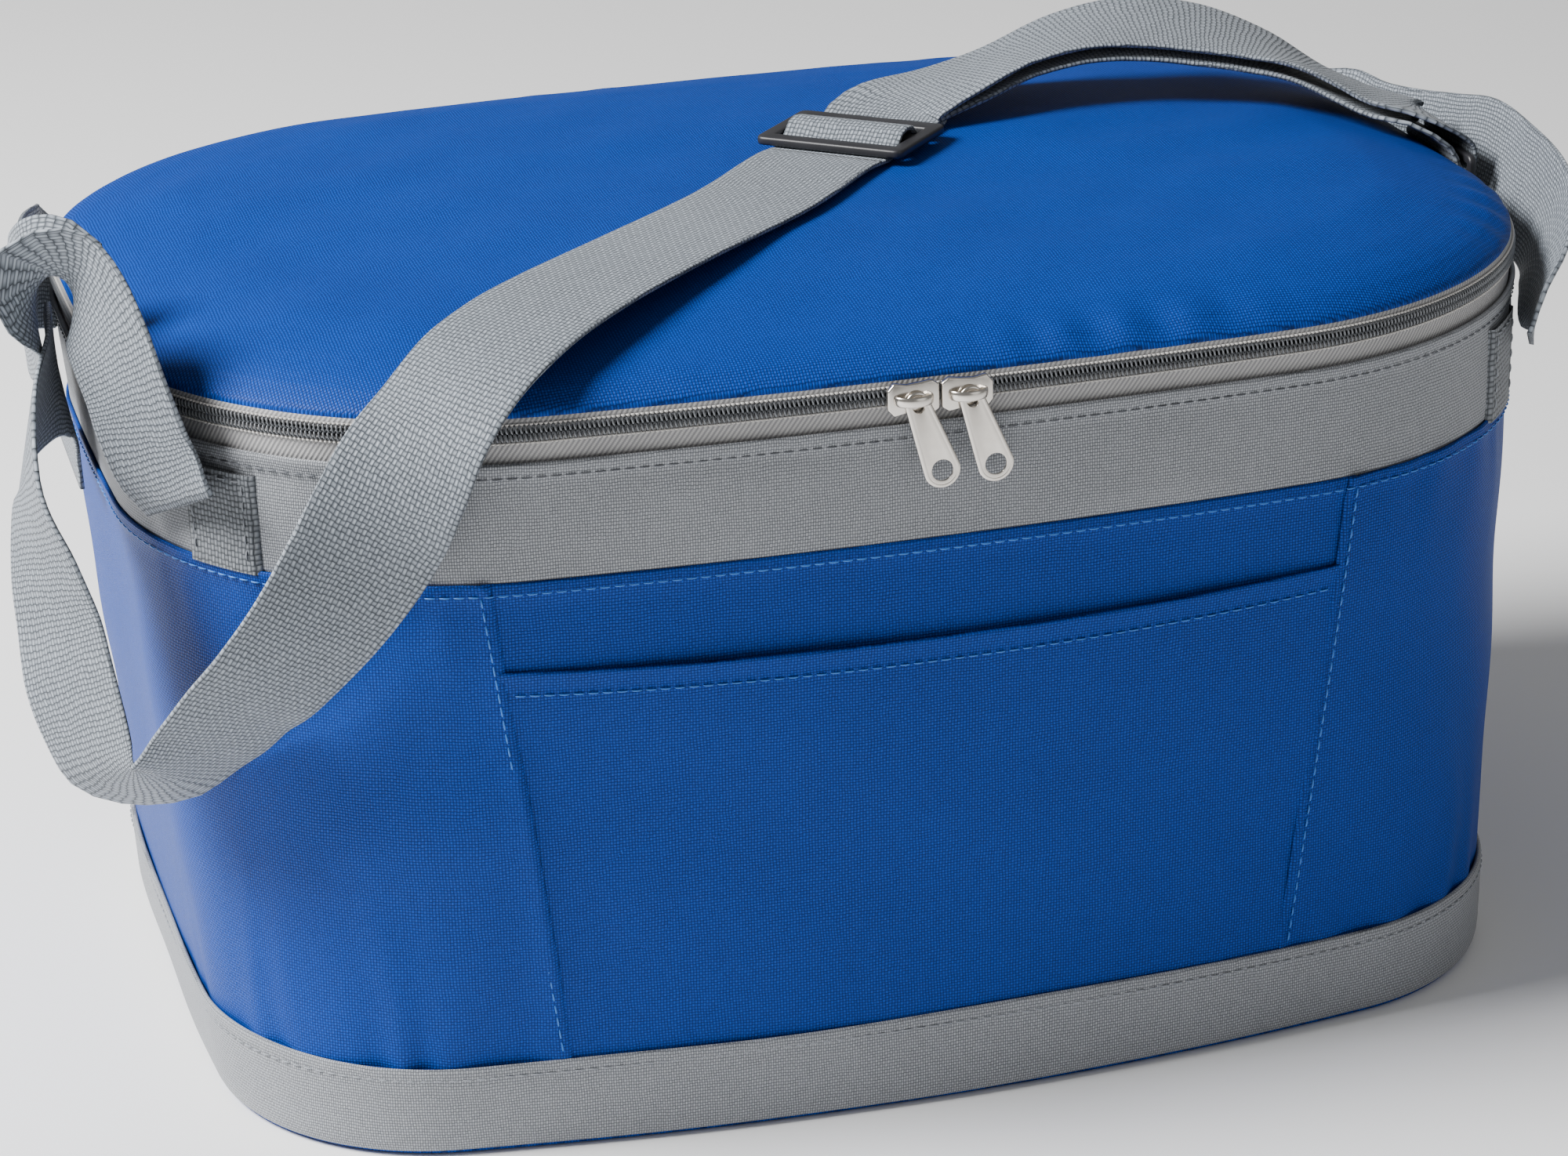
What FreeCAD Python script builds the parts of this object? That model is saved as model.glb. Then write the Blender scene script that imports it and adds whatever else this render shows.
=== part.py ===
"""Insulated cooler bag: soft oval bag, domed zip lid, grab handles and an adjustable shoulder strap.

Millimetres, +Z up.  The origin is the middle of the underside, -Y is the front, +Y carries the lid's hinge.
"""
import FreeCAD, Part
import math
import os
import Sketcher

Vector = FreeCAD.Vector

doc = FreeCAD.newDocument("cooler_bag")
sheet = doc.addObject("Spreadsheet::Sheet", "dimensions")

DIMENSIONS = [
    # outline at the zip
    ("rim_half_length", 210.0),
    ("rim_half_depth", 153.0),
    ("rim_corner", 115.0),
    ("rim_front_radius", 1400.0),
    ("rim_end_radius", 1900.0),
    # outline at the floor
    ("base_half_length", 193.0),
    ("base_half_depth", 147.0),
    ("base_corner", 68.0),
    ("base_front_radius", 810.0),
    ("base_end_radius", 1900.0),
    # heights
    ("body_foot", 1.6),
    ("band_top", 28.0),
    ("body_top", 172.0),
    ("fold_height", 205.5),
    ("wall_top", 212.0),
    ("zip_height", 213.8),
    ("seam_height", 218.0),
    # cloth and filling
    ("skin", 1.2),
    ("foam", 5.0),
    ("liner", 0.8),
    ("play", 0.3),
    ("lid_liner_edge", 4.0),
    # front panel, pocket and hinge
    ("panel_top_half", 123.0),
    ("panel_base_half", 105.0),
    ("pocket_mouth", 146.0),
    ("pocket_gap", 8.0),
    ("hinge_half", 95.0),
    # webbing
    ("webbing", 38.0),
    ("webbing_thick", 1.5),
    # zip slider and pull
    ("slider_length", 14.4),
    ("slider_width", 9.0),
    ("slider_plate", 1.6),
    ("pull_length", 27.0),
    ("pull_width", 9.6),
    ("pull_thick", 1.4),
    ("pull_hole", 3.0),
    ("pull_tail", 4.0),
    ("eye_width", 3.2),
    ("eye_height", 4.0),
    ("eye_low", 5.8),
    ("bridge_width", 2.4),
    # strap adjuster and ring
    ("adjuster_across", 48.0),
    ("adjuster_along", 33.0),
    ("adjuster_thick", 2.6),
    ("adjuster_bar", 5.5),
    ("adjuster_slot", 8.25),
    ("adjuster_side", 4.5),
    ("ring_across", 47.0),
    ("ring_high", 20.0),
    ("ring_bar", 3.0),
]
for row, (alias, size) in enumerate(DIMENSIONS, start=1):
    sheet.set("A%d" % row, alias)
    sheet.set("B%d" % row, str(size))
    sheet.setAlias("B%d" % row, alias)
doc.recompute()

D = {alias: float(sheet.get(alias)) for alias, size in DIMENSIONS}
SKIN = D["skin"]
FOAM = D["foam"]
LINER = D["liner"]
PLAY = D["play"]
CELL = "dimensions."
FAR = 400.0

parts = []


def keep(label, shape):
    """A sub-part whose shape is worked out from the sheet's sizes."""
    feature = doc.addObject("Part::Feature", label)
    feature.Label = label
    feature.Shape = shape
    feature.Placement = FreeCAD.Placement()
    parts.append(feature)
    return feature


# ---------------------------------------------------------------- the oval that everything follows
def oval_sizes(height):
    """Half length, half depth, corner, front and end radius of the bag's outside at a height."""
    share = (height - D["body_foot"]) / (D["zip_height"] - D["body_foot"])
    share = min(max(share, 0.0), 1.0)
    names = ("half_length", "half_depth", "corner", "front_radius", "end_radius")
    return [D["base_" + n] + (D["rim_" + n] - D["base_" + n]) * share for n in names]


def oval_quadrant(height, grow):
    """Centres, radii and angles of the front, corner and end arcs at the right front."""
    half_length, half_depth, corner, front, end = [size + grow for size in oval_sizes(height)]
    front_centre = Vector(0, front - half_depth, 0)
    end_centre = Vector(half_length - end, 0, 0)
    apart = end_centre - front_centre
    reach = front - corner
    other = end - corner
    along = (reach ** 2 - other ** 2 + apart.Length ** 2) / (2 * apart.Length)
    across = math.sqrt(reach ** 2 - along ** 2)
    straight = Vector(apart).normalize()
    corner_centre = front_centre + straight * along + Vector(-straight.y, straight.x, 0) * across
    if corner_centre.y > 0 or corner_centre.x < 0:
        corner_centre = front_centre + straight * along - Vector(-straight.y, straight.x, 0) * across
    to_front = corner_centre - front_centre
    to_end = corner_centre - end_centre
    front_angle = math.atan2(to_front.y, to_front.x)
    end_angle = math.atan2(to_end.y, to_end.x)
    return (
        (front_centre, front, -math.pi / 2, front_angle),
        (corner_centre, corner, front_angle, end_angle),
        (end_centre, end, end_angle, 0.0),
    )


def arc_edge(centre, radius, first, last, height, flip_x, flip_y):
    """One arc of the oval, mirrored into its quadrant."""
    ends = []
    for angle in (first, (first + last) / 2, last):
        x = (centre.x + radius * math.cos(angle)) * flip_x
        y = (centre.y + radius * math.sin(angle)) * flip_y
        ends.append(Vector(x, y, height))
    return Part.Arc(*ends).toShape()


def oval(height, grow, lift=0.0):
    """The bag's outline at a height, grown outwards by a distance all round and drawn that much higher."""
    arcs = oval_quadrant(height, grow)
    edges = []
    for flip_x, flip_y in ((1, 1), (1, -1), (-1, -1), (-1, 1)):
        order = arcs if flip_x * flip_y > 0 else arcs[::-1]
        edges += [arc_edge(*arc, height + lift, flip_x, flip_y) for arc in order]
    return Part.Wire(Part.__sortEdges__(edges))


def tub(grow):
    """The whole tapering body, grown by a distance, as one solid."""
    low, high = D["body_foot"], D["zip_height"] + 6.0
    return Part.makeLoft([oval(low, grow), oval(high, grow)], True, True)


def slab(low, high):
    return Part.makeBox(2 * FAR, 2 * FAR, high - low, Vector(-FAR, -FAR, low))


TUBS = {}


def shell(inner, outer, low, high):
    """A wall that follows the oval, between two distances from the outside and two heights."""
    for grow in (inner, outer):
        if grow not in TUBS:
            TUBS[grow] = tub(grow)
    return TUBS[outer].cut(TUBS[inner]).common(slab(low, high))


def floor_sheet(grow, low, high):
    """A flat sheet of the base's outline."""
    outline = oval(D["body_foot"], grow, low - D["body_foot"])
    return Part.Face(outline).extrude(Vector(0, 0, high - low))


def panel_wedge(widen, low, high, side):
    """A block between the two slanting panel seams: side -1 is the front, +1 the back."""
    slope = (D["panel_top_half"] - D["panel_base_half"]) / (D["body_top"] - D["band_top"])
    low_half = D["panel_base_half"] + slope * (low - D["band_top"]) + widen
    high_half = D["panel_base_half"] + slope * (high - D["band_top"]) + widen
    corners = [(-low_half, low), (low_half, low), (high_half, high), (-high_half, high)]
    points = [Vector(x, 0, z) for x, z in corners]
    face = Part.Face(Part.makePolygon(points + points[:1]))
    return face.extrude(Vector(0, side * FAR, 0))


# ---------------------------------------------------------------- outer cloth of the body
def make_body_cloth():
    foot = D["body_foot"]
    top = D["body_top"]
    wall = shell(-SKIN, 0.0, foot + 0.1, top)
    front = panel_wedge(0.0, 0.0, top + 1.0, -1)
    back = panel_wedge(0.0, 0.0, top + 1.0, 1)
    both = panel_wedge(PLAY, 0.0, top + 1.0, -1).fuse(panel_wedge(PLAY, 0.0, top + 1.0, 1))
    ends = wall.cut(both)
    half_space = Part.makeBox(FAR, 2 * FAR, FAR, Vector(-FAR, -FAR, 0))
    keep("front_centre_panel", wall.common(front))
    keep("back_panel", wall.common(back))
    keep("side_panel_left", ends.common(half_space))
    keep("side_panel_right", ends.cut(half_space))
    keep("upper_band", shell(-SKIN, 0.0, top + 0.2, D["fold_height"]))
    keep("lower_band", shell(PLAY, PLAY + SKIN, foot + 0.9, D["band_top"]))
    keep("base_panel", floor_sheet(-PLAY, 0.0, foot - 0.1))


def make_front_pocket():
    """A shallow tray of cloth: sewn down at the sides and the bottom, open at the top."""
    low = D["band_top"] + PLAY
    mouth = D["pocket_mouth"]
    outside = D["pocket_gap"] + SKIN
    tray = shell(PLAY, outside, low, mouth).common(panel_wedge(-1.0, low, mouth, -1))
    hollow = shell(0.0, D["pocket_gap"], low + 16.0, mouth + 2.0)
    tray = tray.cut(hollow.common(panel_wedge(-5.0, low, mouth + 2.0, -1)))
    keep("front_pocket_panel", tray)


# ---------------------------------------------------------------- foam, liner and binding
def make_insulation():
    foot = D["body_foot"]
    binding_low = D["wall_top"] - 2.2
    foam_out = -SKIN - PLAY
    foam_in = foam_out - FOAM
    liner_out = foam_in - PLAY
    liner_in = liner_out - LINER
    keep("wall_foam", shell(foam_in, foam_out, foot + 0.1, binding_low - 0.2))
    keep("rim_binding", shell(liner_in, foam_out, binding_low, D["wall_top"]))
    base_low = foot + 0.1
    base_high = base_low + FOAM
    keep("base_foam", floor_sheet(foam_in - PLAY, base_low, base_high))
    keep("liner_base", floor_sheet(foam_in - PLAY, base_high + 0.2, base_high + 0.2 + LINER))
    keep("liner_wall", shell(liner_in, liner_out, base_high + 0.6 + LINER, binding_low - 0.2))


# ---------------------------------------------------------------- zip and hinge strip
def hinge_block(widen):
    width = 2 * (D["hinge_half"] + widen)
    return Part.makeBox(width, FAR, FAR, Vector(-width / 2, 0, 0))


def make_zip():
    fold = D["fold_height"]
    top = D["wall_top"]
    zip_line = D["zip_height"]
    seam = D["seam_height"]
    gap = hinge_block(PLAY)
    strip = hinge_block(0.0)
    tape_low = shell(-SKIN, -0.2, fold + 0.2, top)
    keep("zip_tape_lower", tape_low.cut(gap))
    keep("hinge_strip_lower", shell(-SKIN, -0.2, fold + 0.2, zip_line - PLAY).common(strip))
    keep("zip_coil_lower", shell(-SKIN, 0.9, top + 0.2, zip_line - 0.2).cut(gap))
    keep("zip_coil_upper", shell(-SKIN, 0.9, zip_line + 0.2, zip_line + 1.6).cut(gap))
    tape_high = shell(-SKIN, -0.2, zip_line + 1.8, seam - 0.2)
    keep("zip_tape_upper", tape_high.cut(gap))
    keep("hinge_strip_upper", shell(-SKIN, -0.2, zip_line + 0.2, seam - 0.2).common(strip))


# ---------------------------------------------------------------- lid
DOME = ((0.0, 1.2), (3.2, 3.6), (6.5, 12.0), (9.6, 34.0), (11.6, 72.0), (12.4, 112.0))


def dome(drop):
    """The lid's top surface as a solid down to the zip, lowered and drawn in by a distance."""
    seam = D["seam_height"]
    wires = []
    for rise, draw_in in DOME:
        wires.append(oval(D["zip_height"], -draw_in - drop, seam + rise - drop - D["zip_height"]))
    return Part.makeLoft(wires, True, True)


def make_lid():
    seam = D["seam_height"]
    floor = D["zip_height"] + 0.6
    outline = oval(D["zip_height"], -D["lid_liner_edge"], floor - D["zip_height"])
    keep("lid_cover", dome(0.0).cut(dome(SKIN)).common(slab(seam, seam + FAR)))
    keep("lid_foam", dome(SKIN + PLAY))
    keep("lid_liner", Part.Face(outline).extrude(Vector(0, 0, LINER)))
    keep("lid_binding", shell(-SKIN - 1.1, -SKIN - 0.2, floor, seam - 1.4))


# ---------------------------------------------------------------- webbing
def band(route, thick):
    """A strip of webbing: each stop gives a point on its middle line and the way its width points."""
    half = D["webbing"] / 2
    rings = []
    for number, (point, across) in enumerate(route):
        before = Vector(*route[max(number - 1, 0)][0])
        after = Vector(*route[min(number + 1, len(route) - 1)][0])
        forward = (after - before).normalize()
        side = Vector(*across)
        side = (side - forward * side.dot(forward)).normalize()
        face = forward.cross(side)
        middle = Vector(*point)
        ring = []
        for u, v in ((-1, -1), (1, -1), (1, 1), (-1, 1)):
            ring.append(middle + side * (half * u) + face * (thick / 2 * v))
        rings.append(ring)
    faces = [Part.Face(Part.makePolygon(rings[0] + rings[0][:1]))]
    faces.append(Part.Face(Part.makePolygon(rings[-1] + rings[-1][:1])))
    for ring, following in zip(rings, rings[1:]):
        for k in range(4):
            a, b = ring[k], ring[(k + 1) % 4]
            c, d = following[(k + 1) % 4], following[k]
            # both broad faces are split along the same diagonal, so that the band keeps its thickness
            split = ((a, b, c), (a, c, d)) if k < 2 else ((a, b, d), (b, c, d))
            for corners in split:
                faces.append(Part.Face(Part.makePolygon(list(corners) + [corners[0]])))
    solid = Part.makeSolid(Part.makeShell(faces))
    if solid.Volume < 0:
        solid.reverse()
    return solid


def outside_point(y, height, grow, side):
    """The point on the bag's outline at a given y, and the direction along the outline there."""
    spot = None
    for centre, radius, first, last in oval_quadrant(height, grow)[1:]:
        reach = radius ** 2 - (abs(y) + centre.y) ** 2
        if reach <= 0:
            continue
        x = centre.x + math.sqrt(reach)
        angle = math.atan2(-abs(y) - centre.y, x - centre.x)
        if first - 1e-6 <= angle <= last + 1e-6:
            spot = (x, angle)
    x, angle = spot
    mirror = -1 if y > 0 else 1
    tangent = Vector(-math.sin(angle) * side, math.cos(angle) * mirror, 0)
    return Vector(x * side, y, height), tangent


LEG_Y = 96.0
SEWN_LOW = 173.5
SEWN_HIGH = 202.0


def sewn_end(y, low, high, side):
    """A webbing end sewn flat against the upper band."""
    point, tangent = outside_point(y, (low + high) / 2, 0.0, side)
    normal = tangent.cross(Vector(0, 0, 1)).normalize()
    if normal.x * side < 0:
        normal = normal.negative()
    width = D["webbing"]
    depth = 24.0
    box = Part.makeBox(width, depth, high - low, Vector(-width / 2, -depth / 2, 0))
    turn = FreeCAD.Rotation(Vector(1, 0, 0), tangent)
    box.Placement = FreeCAD.Placement(Vector(point.x, point.y, low), turn)
    return shell(PLAY, PLAY + D["webbing_thick"], low - 1.0, high + 1.0).common(box)


# the left handle stands up from its front end and flops over outwards
LEFT_HANDLE = [
    ((-201.5, -97, 203.0), (0.49, -0.87, 0.0)),
    ((-204.5, -97, 217.0), (0.72, -0.62, 0.05)),
    ((-210.0, -92, 233.0), (0.80, -0.50, 0.10)),
    ((-216.5, -80, 244.0), (0.88, -0.35, 0.20)),
    ((-226.5, -62, 249.0), (0.92, -0.10, 0.35)),
    ((-230.5, -40, 246.0), (0.88, 0.10, 0.45)),
    ((-230.5, -12, 235.0), (0.80, 0.10, 0.55)),
    ((-229.0, 16, 227.0), (0.74, 0.05, 0.65)),
    ((-228.0, 44, 224.0), (0.72, 0.00, 0.65)),
    ((-224.5, 68, 222.0), (0.72, -0.20, 0.60)),
    ((-218.0, 85, 218.5), (0.70, -0.25, 0.60)),
    ((-209.0, 95, 212.0), (0.72, 0.45, 0.40)),
    ((-201.5, 97, 203.0), (0.49, 0.87, 0.0)),
]
# the right handle lies low, its run along the end standing on edge
RIGHT_HANDLE = [
    ((201.5, -97, 203.0), (0.49, 0.87, 0.0)),
    ((206.5, -92, 211.0), (0.30, 0.75, -0.50)),
    ((216.0, -80, 216.0), (0.35, 0.35, -0.80)),
    ((224.0, -62, 216.0), (0.36, 0.15, -0.92)),
    ((227.0, -36, 213.0), (0.38, 0.05, -0.92)),
    ((228.0, -8, 212.0), (0.38, 0.00, -0.92)),
    ((228.0, 20, 212.0), (0.38, 0.00, -0.92)),
    ((226.0, 46, 213.0), (0.38, -0.05, -0.92)),
    ((222.0, 66, 216.0), (0.36, -0.15, -0.92)),
    ((214.0, 82, 216.0), (0.35, -0.35, -0.80)),
    ((206.5, 92, 211.0), (0.30, -0.75, -0.50)),
    ((201.5, 97, 203.0), (0.49, -0.87, 0.0)),
]


def make_handles():
    for name, side, route in (("left", -1, LEFT_HANDLE), ("right", 1, RIGHT_HANDLE)):
        ends = [sewn_end(y, SEWN_LOW, SEWN_HIGH, side) for y in (-LEG_Y, LEG_Y)]
        keep(name + "_handle_ends", Part.makeCompound(ends))
        keep(name + "_handle", band(route, D["webbing_thick"]))


# where the strap adjuster lies on the lid and the way the strap runs through it
ADJUSTER_AT = Vector(29.0, 18.0, 234.6)
ADJUSTER_TURN = 48.0


def by_adjuster(along, height):
    """A point on the strap, by its distance along from the adjuster's middle."""
    turn = math.radians(ADJUSTER_TURN)
    x = ADJUSTER_AT.x + along * math.cos(turn)
    y = ADJUSTER_AT.y + along * math.sin(turn)
    return (x, y, height)


ACROSS_ADJUSTER = (math.sin(math.radians(ADJUSTER_TURN)), -math.cos(math.radians(ADJUSTER_TURN)), 0.0)
STRAP_FROM_LEFT = [
    ((-213.0, 0, 175.0), (0, 1, 0)),
    ((-213.5, 0, 196.0), (0, 1, 0)),
    ((-219.0, -4, 210.0), (0.1, 1, 0)),
    ((-229.0, -16, 214.0), (0.25, 0.9, 0.1)),
    ((-238.0, -34, 205.0), (0.4, 0.85, 0.2)),
    ((-243.0, -54, 184.0), (0.55, 0.8, 0.2)),
    ((-243.0, -72, 158.0), (0.66, 0.72, 0.2)),
    ((-239.0, -88, 134.0), (0.75, 0.6, 0.25)),
    ((-231.0, -103, 118.0), (0.70, 0.45, 0.5)),
    ((-218.0, -120, 111.0), (0.45, 0.35, 0.8)),
    ((-203.0, -134, 118.0), (0.35, 0.2, 0.85)),
    ((-190.0, -146, 134.0), (0.5, 0.1, 0.7)),
    ((-177.0, -155, 154.0), (0.65, 0.0, 0.5)),
    ((-163.0, -161, 177.0), (0.75, -0.05, 0.45)),
    ((-150.0, -162, 200.0), (0.8, -0.1, 0.4)),
    ((-138.0, -157, 219.0), (0.8, -0.3, 0.2)),
    ((-124.0, -143, 230.0), (0.78, -0.6, 0.0)),
    ((-104.0, -121, 234.5), (0.75, -0.66, 0.0)),
    ((-78.0, -96, 235.5), (0.7, -0.7, 0.0)),
    ((-46.0, -64, 235.0), (0.7, -0.7, 0.0)),
    ((-14.0, -30, 233.6), ACROSS_ADJUSTER),
]
STRAP_THROUGH = [
    (by_adjuster(-30.0, 232.2), ACROSS_ADJUSTER),
    (by_adjuster(-10.0, 232.2), ACROSS_ADJUSTER),
    (by_adjuster(-3.6, 237.4), ACROSS_ADJUSTER),
    (by_adjuster(3.6, 237.4), ACROSS_ADJUSTER),
    (by_adjuster(10.0, 232.2), ACROSS_ADJUSTER),
    (by_adjuster(18.5, 232.2), ACROSS_ADJUSTER),
    (by_adjuster(30.0, 236.0), ACROSS_ADJUSTER),
]
STRAP_TO_RIGHT = [
    ((72.0, 56, 244.0), (0.62, -0.78, 0.0)),
    ((96.0, 66, 252.0), (0.55, -0.83, 0.0)),
    ((120.0, 70, 258.0), (0.45, -0.88, 0.0)),
    ((144.0, 66, 259.0), (0.3, -0.95, 0.0)),
    ((166.0, 54, 254.0), (0.1, -1.0, 0.0)),
    ((183.0, 34, 246.5), (0.0, -1.0, 0.0)),
    ((194.0, 12, 240.0), (0.0, -1.0, 0.0)),
]
BOTH_LAYERS = 4.5
ROUND_THE_RING = [
    ((204.0, 1, 233.5), (0.0, -1.0, 0.0)),
    ((210.0, 0, 229.0), (0.0, -1.0, 0.0)),
    ((214.2, 0, 225.6), (0.0, -1.0, 0.0)),
    ((215.9, 0, 223.0), (0.0, -1.0, 0.0)),
    ((215.9, 0, 219.4), (0.0, -1.0, 0.0)),
    ((214.8, 0, 217.6), (0.0, -1.0, 0.0)),
    ((213.2, 0, 217.0), (0.0, -1.0, 0.0)),
    ((211.5, 0, 217.6), (0.0, -1.0, 0.0)),
    ((210.6, 0, 219.4), (0.0, -1.0, 0.0)),
    ((209.4, 0, 222.8), (0.0, -1.0, 0.0)),
    ((204.0, 1, 228.0), (0.0, -1.0, 0.0)),
]
ROUND_THE_BAR = [
    (208.1, 175.0), (210.0, 199.0), (210.45, 203.0), (210.45, 205.4), (211.4, 207.2), (213.2, 207.8),
    (215.0, 207.2), (215.9, 205.4), (215.9, 203.0), (214.6, 200.0), (212.6, 195.0), (211.1, 188.0),
    (209.9, 175.0),
]


def make_strap():
    """One webbing: sewn at the left end, through the adjuster, round the ring and back to the adjuster."""
    thick = D["webbing_thick"]
    lower = [((x, y, z - BOTH_LAYERS), across) for (x, y, z), across in reversed(STRAP_TO_RIGHT)]
    end = [(by_adjuster(28.0, 232.2), ACROSS_ADJUSTER)]
    out = STRAP_FROM_LEFT + STRAP_THROUGH + STRAP_TO_RIGHT
    keep("shoulder_strap", band(out + ROUND_THE_RING + lower + end, thick))
    tab = [((x, 0.0, z), (0.0, 1.0, 0.0)) for x, z in ROUND_THE_BAR]
    keep("strap_ring_tab", band(tab, thick))


# ---------------------------------------------------------------- hardware as sketched bodies
def plane_of(body, role):
    for feature in body.Origin.OriginFeatures:
        if feature.Role == role:
            return feature
    raise RuntimeError("no plane " + role)


def rectangle(sketch, centre, width, height):
    """A rectangle on a sketch, sized by two sheet expressions and centred on a point."""
    x, y = centre
    corners = [(x - 5, y - 3), (x + 5, y - 3), (x + 5, y + 3), (x - 5, y + 3)]
    first = sketch.GeometryCount
    for number in range(4):
        start = Vector(*corners[number], 0)
        end = Vector(*corners[(number + 1) % 4], 0)
        sketch.addGeometry(Part.LineSegment(start, end), False)
    for number in range(4):
        after = first + (number + 1) % 4
        sketch.addConstraint(Sketcher.Constraint("Coincident", first + number, 2, after, 1))
    sketch.addConstraint(Sketcher.Constraint("Horizontal", first))
    sketch.addConstraint(Sketcher.Constraint("Horizontal", first + 2))
    sketch.addConstraint(Sketcher.Constraint("Vertical", first + 1))
    sketch.addConstraint(Sketcher.Constraint("Vertical", first + 3))
    wide = sketch.addConstraint(Sketcher.Constraint("DistanceX", first, 1, first, 2, 10.0))
    high = sketch.addConstraint(Sketcher.Constraint("DistanceY", first + 1, 1, first + 1, 2, 6.0))
    left = sketch.addConstraint(Sketcher.Constraint("DistanceX", -1, 1, first, 1, x - 5))
    low = sketch.addConstraint(Sketcher.Constraint("DistanceY", -1, 1, first, 1, y - 3))
    sketch.setExpression("Constraints[%d]" % wide, width)
    sketch.setExpression("Constraints[%d]" % high, height)
    return left, low


def circle(sketch, centre, radius):
    number = sketch.addGeometry(Part.Circle(Vector(*centre, 0), Vector(0, 0, 1), 2.0), False)
    size = sketch.addConstraint(Sketcher.Constraint("Radius", number, 2.0))
    sketch.addConstraint(Sketcher.Constraint("DistanceX", -1, 1, number, 3, centre[0]))
    up = sketch.addConstraint(Sketcher.Constraint("DistanceY", -1, 1, number, 3, centre[1]))
    sketch.setExpression("Constraints[%d]" % size, radius)
    return up


def new_sketch(body, name, role):
    sketch = body.newObject("Sketcher::SketchObject", name)
    sketch.AttachmentSupport = [(plane_of(body, role), "")]
    sketch.MapMode = "FlatFace"
    return sketch


def new_pad(body, sketch, length, middle):
    pad = body.newObject("PartDesign::Pad", sketch.Name + "_pad")
    pad.Profile = sketch
    pad.setExpression("Length", length)
    pad.Midplane = middle


def new_pocket(body, sketch):
    """Cuts right through, whichever way the sketch faces."""
    cut = body.newObject("PartDesign::Pocket", sketch.Name + "_cut")
    cut.Profile = sketch
    cut.Type = "ThroughAll"
    cut.Midplane = True


def make_adjuster():
    """Three-bar slide: a plate with two slots beside a centre bar."""
    body = doc.addObject("PartDesign::Body", "strap_adjuster")
    body.Label = "strap_adjuster"
    plate = new_sketch(body, "adjuster_outline", "XY_Plane")
    left, low = rectangle(plate, (0, 0), CELL + "adjuster_along", CELL + "adjuster_across")
    plate.setExpression("Constraints[%d]" % left, "-%sadjuster_along / 2" % CELL)
    plate.setExpression("Constraints[%d]" % low, "-%sadjuster_across / 2" % CELL)
    new_pad(body, plate, CELL + "adjuster_thick", True)
    doc.recompute()
    solid_before = body.Shape.Volume
    for side, name in ((-1, "near_slot"), (1, "far_slot")):
        slot = new_sketch(body, name, "XY_Plane")
        high = "%sadjuster_across - 2 * %sadjuster_side" % (CELL, CELL)
        left, low = rectangle(slot, (8 * side, 0), CELL + "adjuster_slot", high)
        if side < 0:
            place = "-%sadjuster_bar / 2 - %sadjuster_slot" % (CELL, CELL)
        else:
            place = "%sadjuster_bar / 2" % CELL
        slot.setExpression("Constraints[%d]" % left, place)
        slot.setExpression("Constraints[%d]" % low, "-(%s) / 2" % high)
        new_pocket(body, slot)
    doc.recompute()
    if not body.Shape.Volume < solid_before * 0.7:
        raise RuntimeError("the adjuster's slots were not cut")
    turn = FreeCAD.Rotation(Vector(0, 0, 1), ADJUSTER_TURN)
    body.Placement = FreeCAD.Placement(ADJUSTER_AT, turn)
    parts.append(body)


RING_AT = Vector(213.2, 0.0, 212.5)


def make_ring():
    """Flat rectangular loop that stands in the right-hand webbing tab."""
    body = doc.addObject("PartDesign::Body", "strap_ring")
    body.Label = "strap_ring"
    outline = new_sketch(body, "ring_outline", "YZ_Plane")
    left, low = rectangle(outline, (0, 0), CELL + "ring_across", CELL + "ring_high")
    outline.setExpression("Constraints[%d]" % left, "-%sring_across / 2" % CELL)
    outline.setExpression("Constraints[%d]" % low, "-%sring_high / 2" % CELL)
    new_pad(body, outline, "%sring_bar * 0.7" % CELL, True)
    window = new_sketch(body, "ring_window", "YZ_Plane")
    wide = "%sring_across - 2 * %sring_bar" % (CELL, CELL)
    high = "%sring_high - 2 * %sring_bar" % (CELL, CELL)
    left, low = rectangle(window, (0, 0), wide, high)
    window.setExpression("Constraints[%d]" % left, "-(%s) / 2" % wide)
    window.setExpression("Constraints[%d]" % low, "-(%s) / 2" % high)
    new_pocket(body, window)
    doc.recompute()
    body.Placement = FreeCAD.Placement(RING_AT, FreeCAD.Rotation())
    parts.append(body)


# how far the sliders' plates stand off the coil, how far out and up the pulls hang, and the
# distance of each slider from the middle of the front
SLIDER_FRONT = 2.2
PULL_OUT = 1.2
PULL_UP = 1.0
SLIDER_X = 7.5
BRIDGE_RISE = 3.4
BRIDGE_HALF = 4.6


def front_frame(x):
    """Place and turn of something on the zip at the front, its own -Y pointing out of the bag."""
    radius = oval_sizes(D["zip_height"])[3]
    angle = math.asin(x / radius)
    y = -D["rim_half_depth"] + radius * (1 - math.cos(angle))
    return Vector(x, y, D["zip_height"]), FreeCAD.Rotation(Vector(0, 0, 1), math.degrees(angle))


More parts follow.
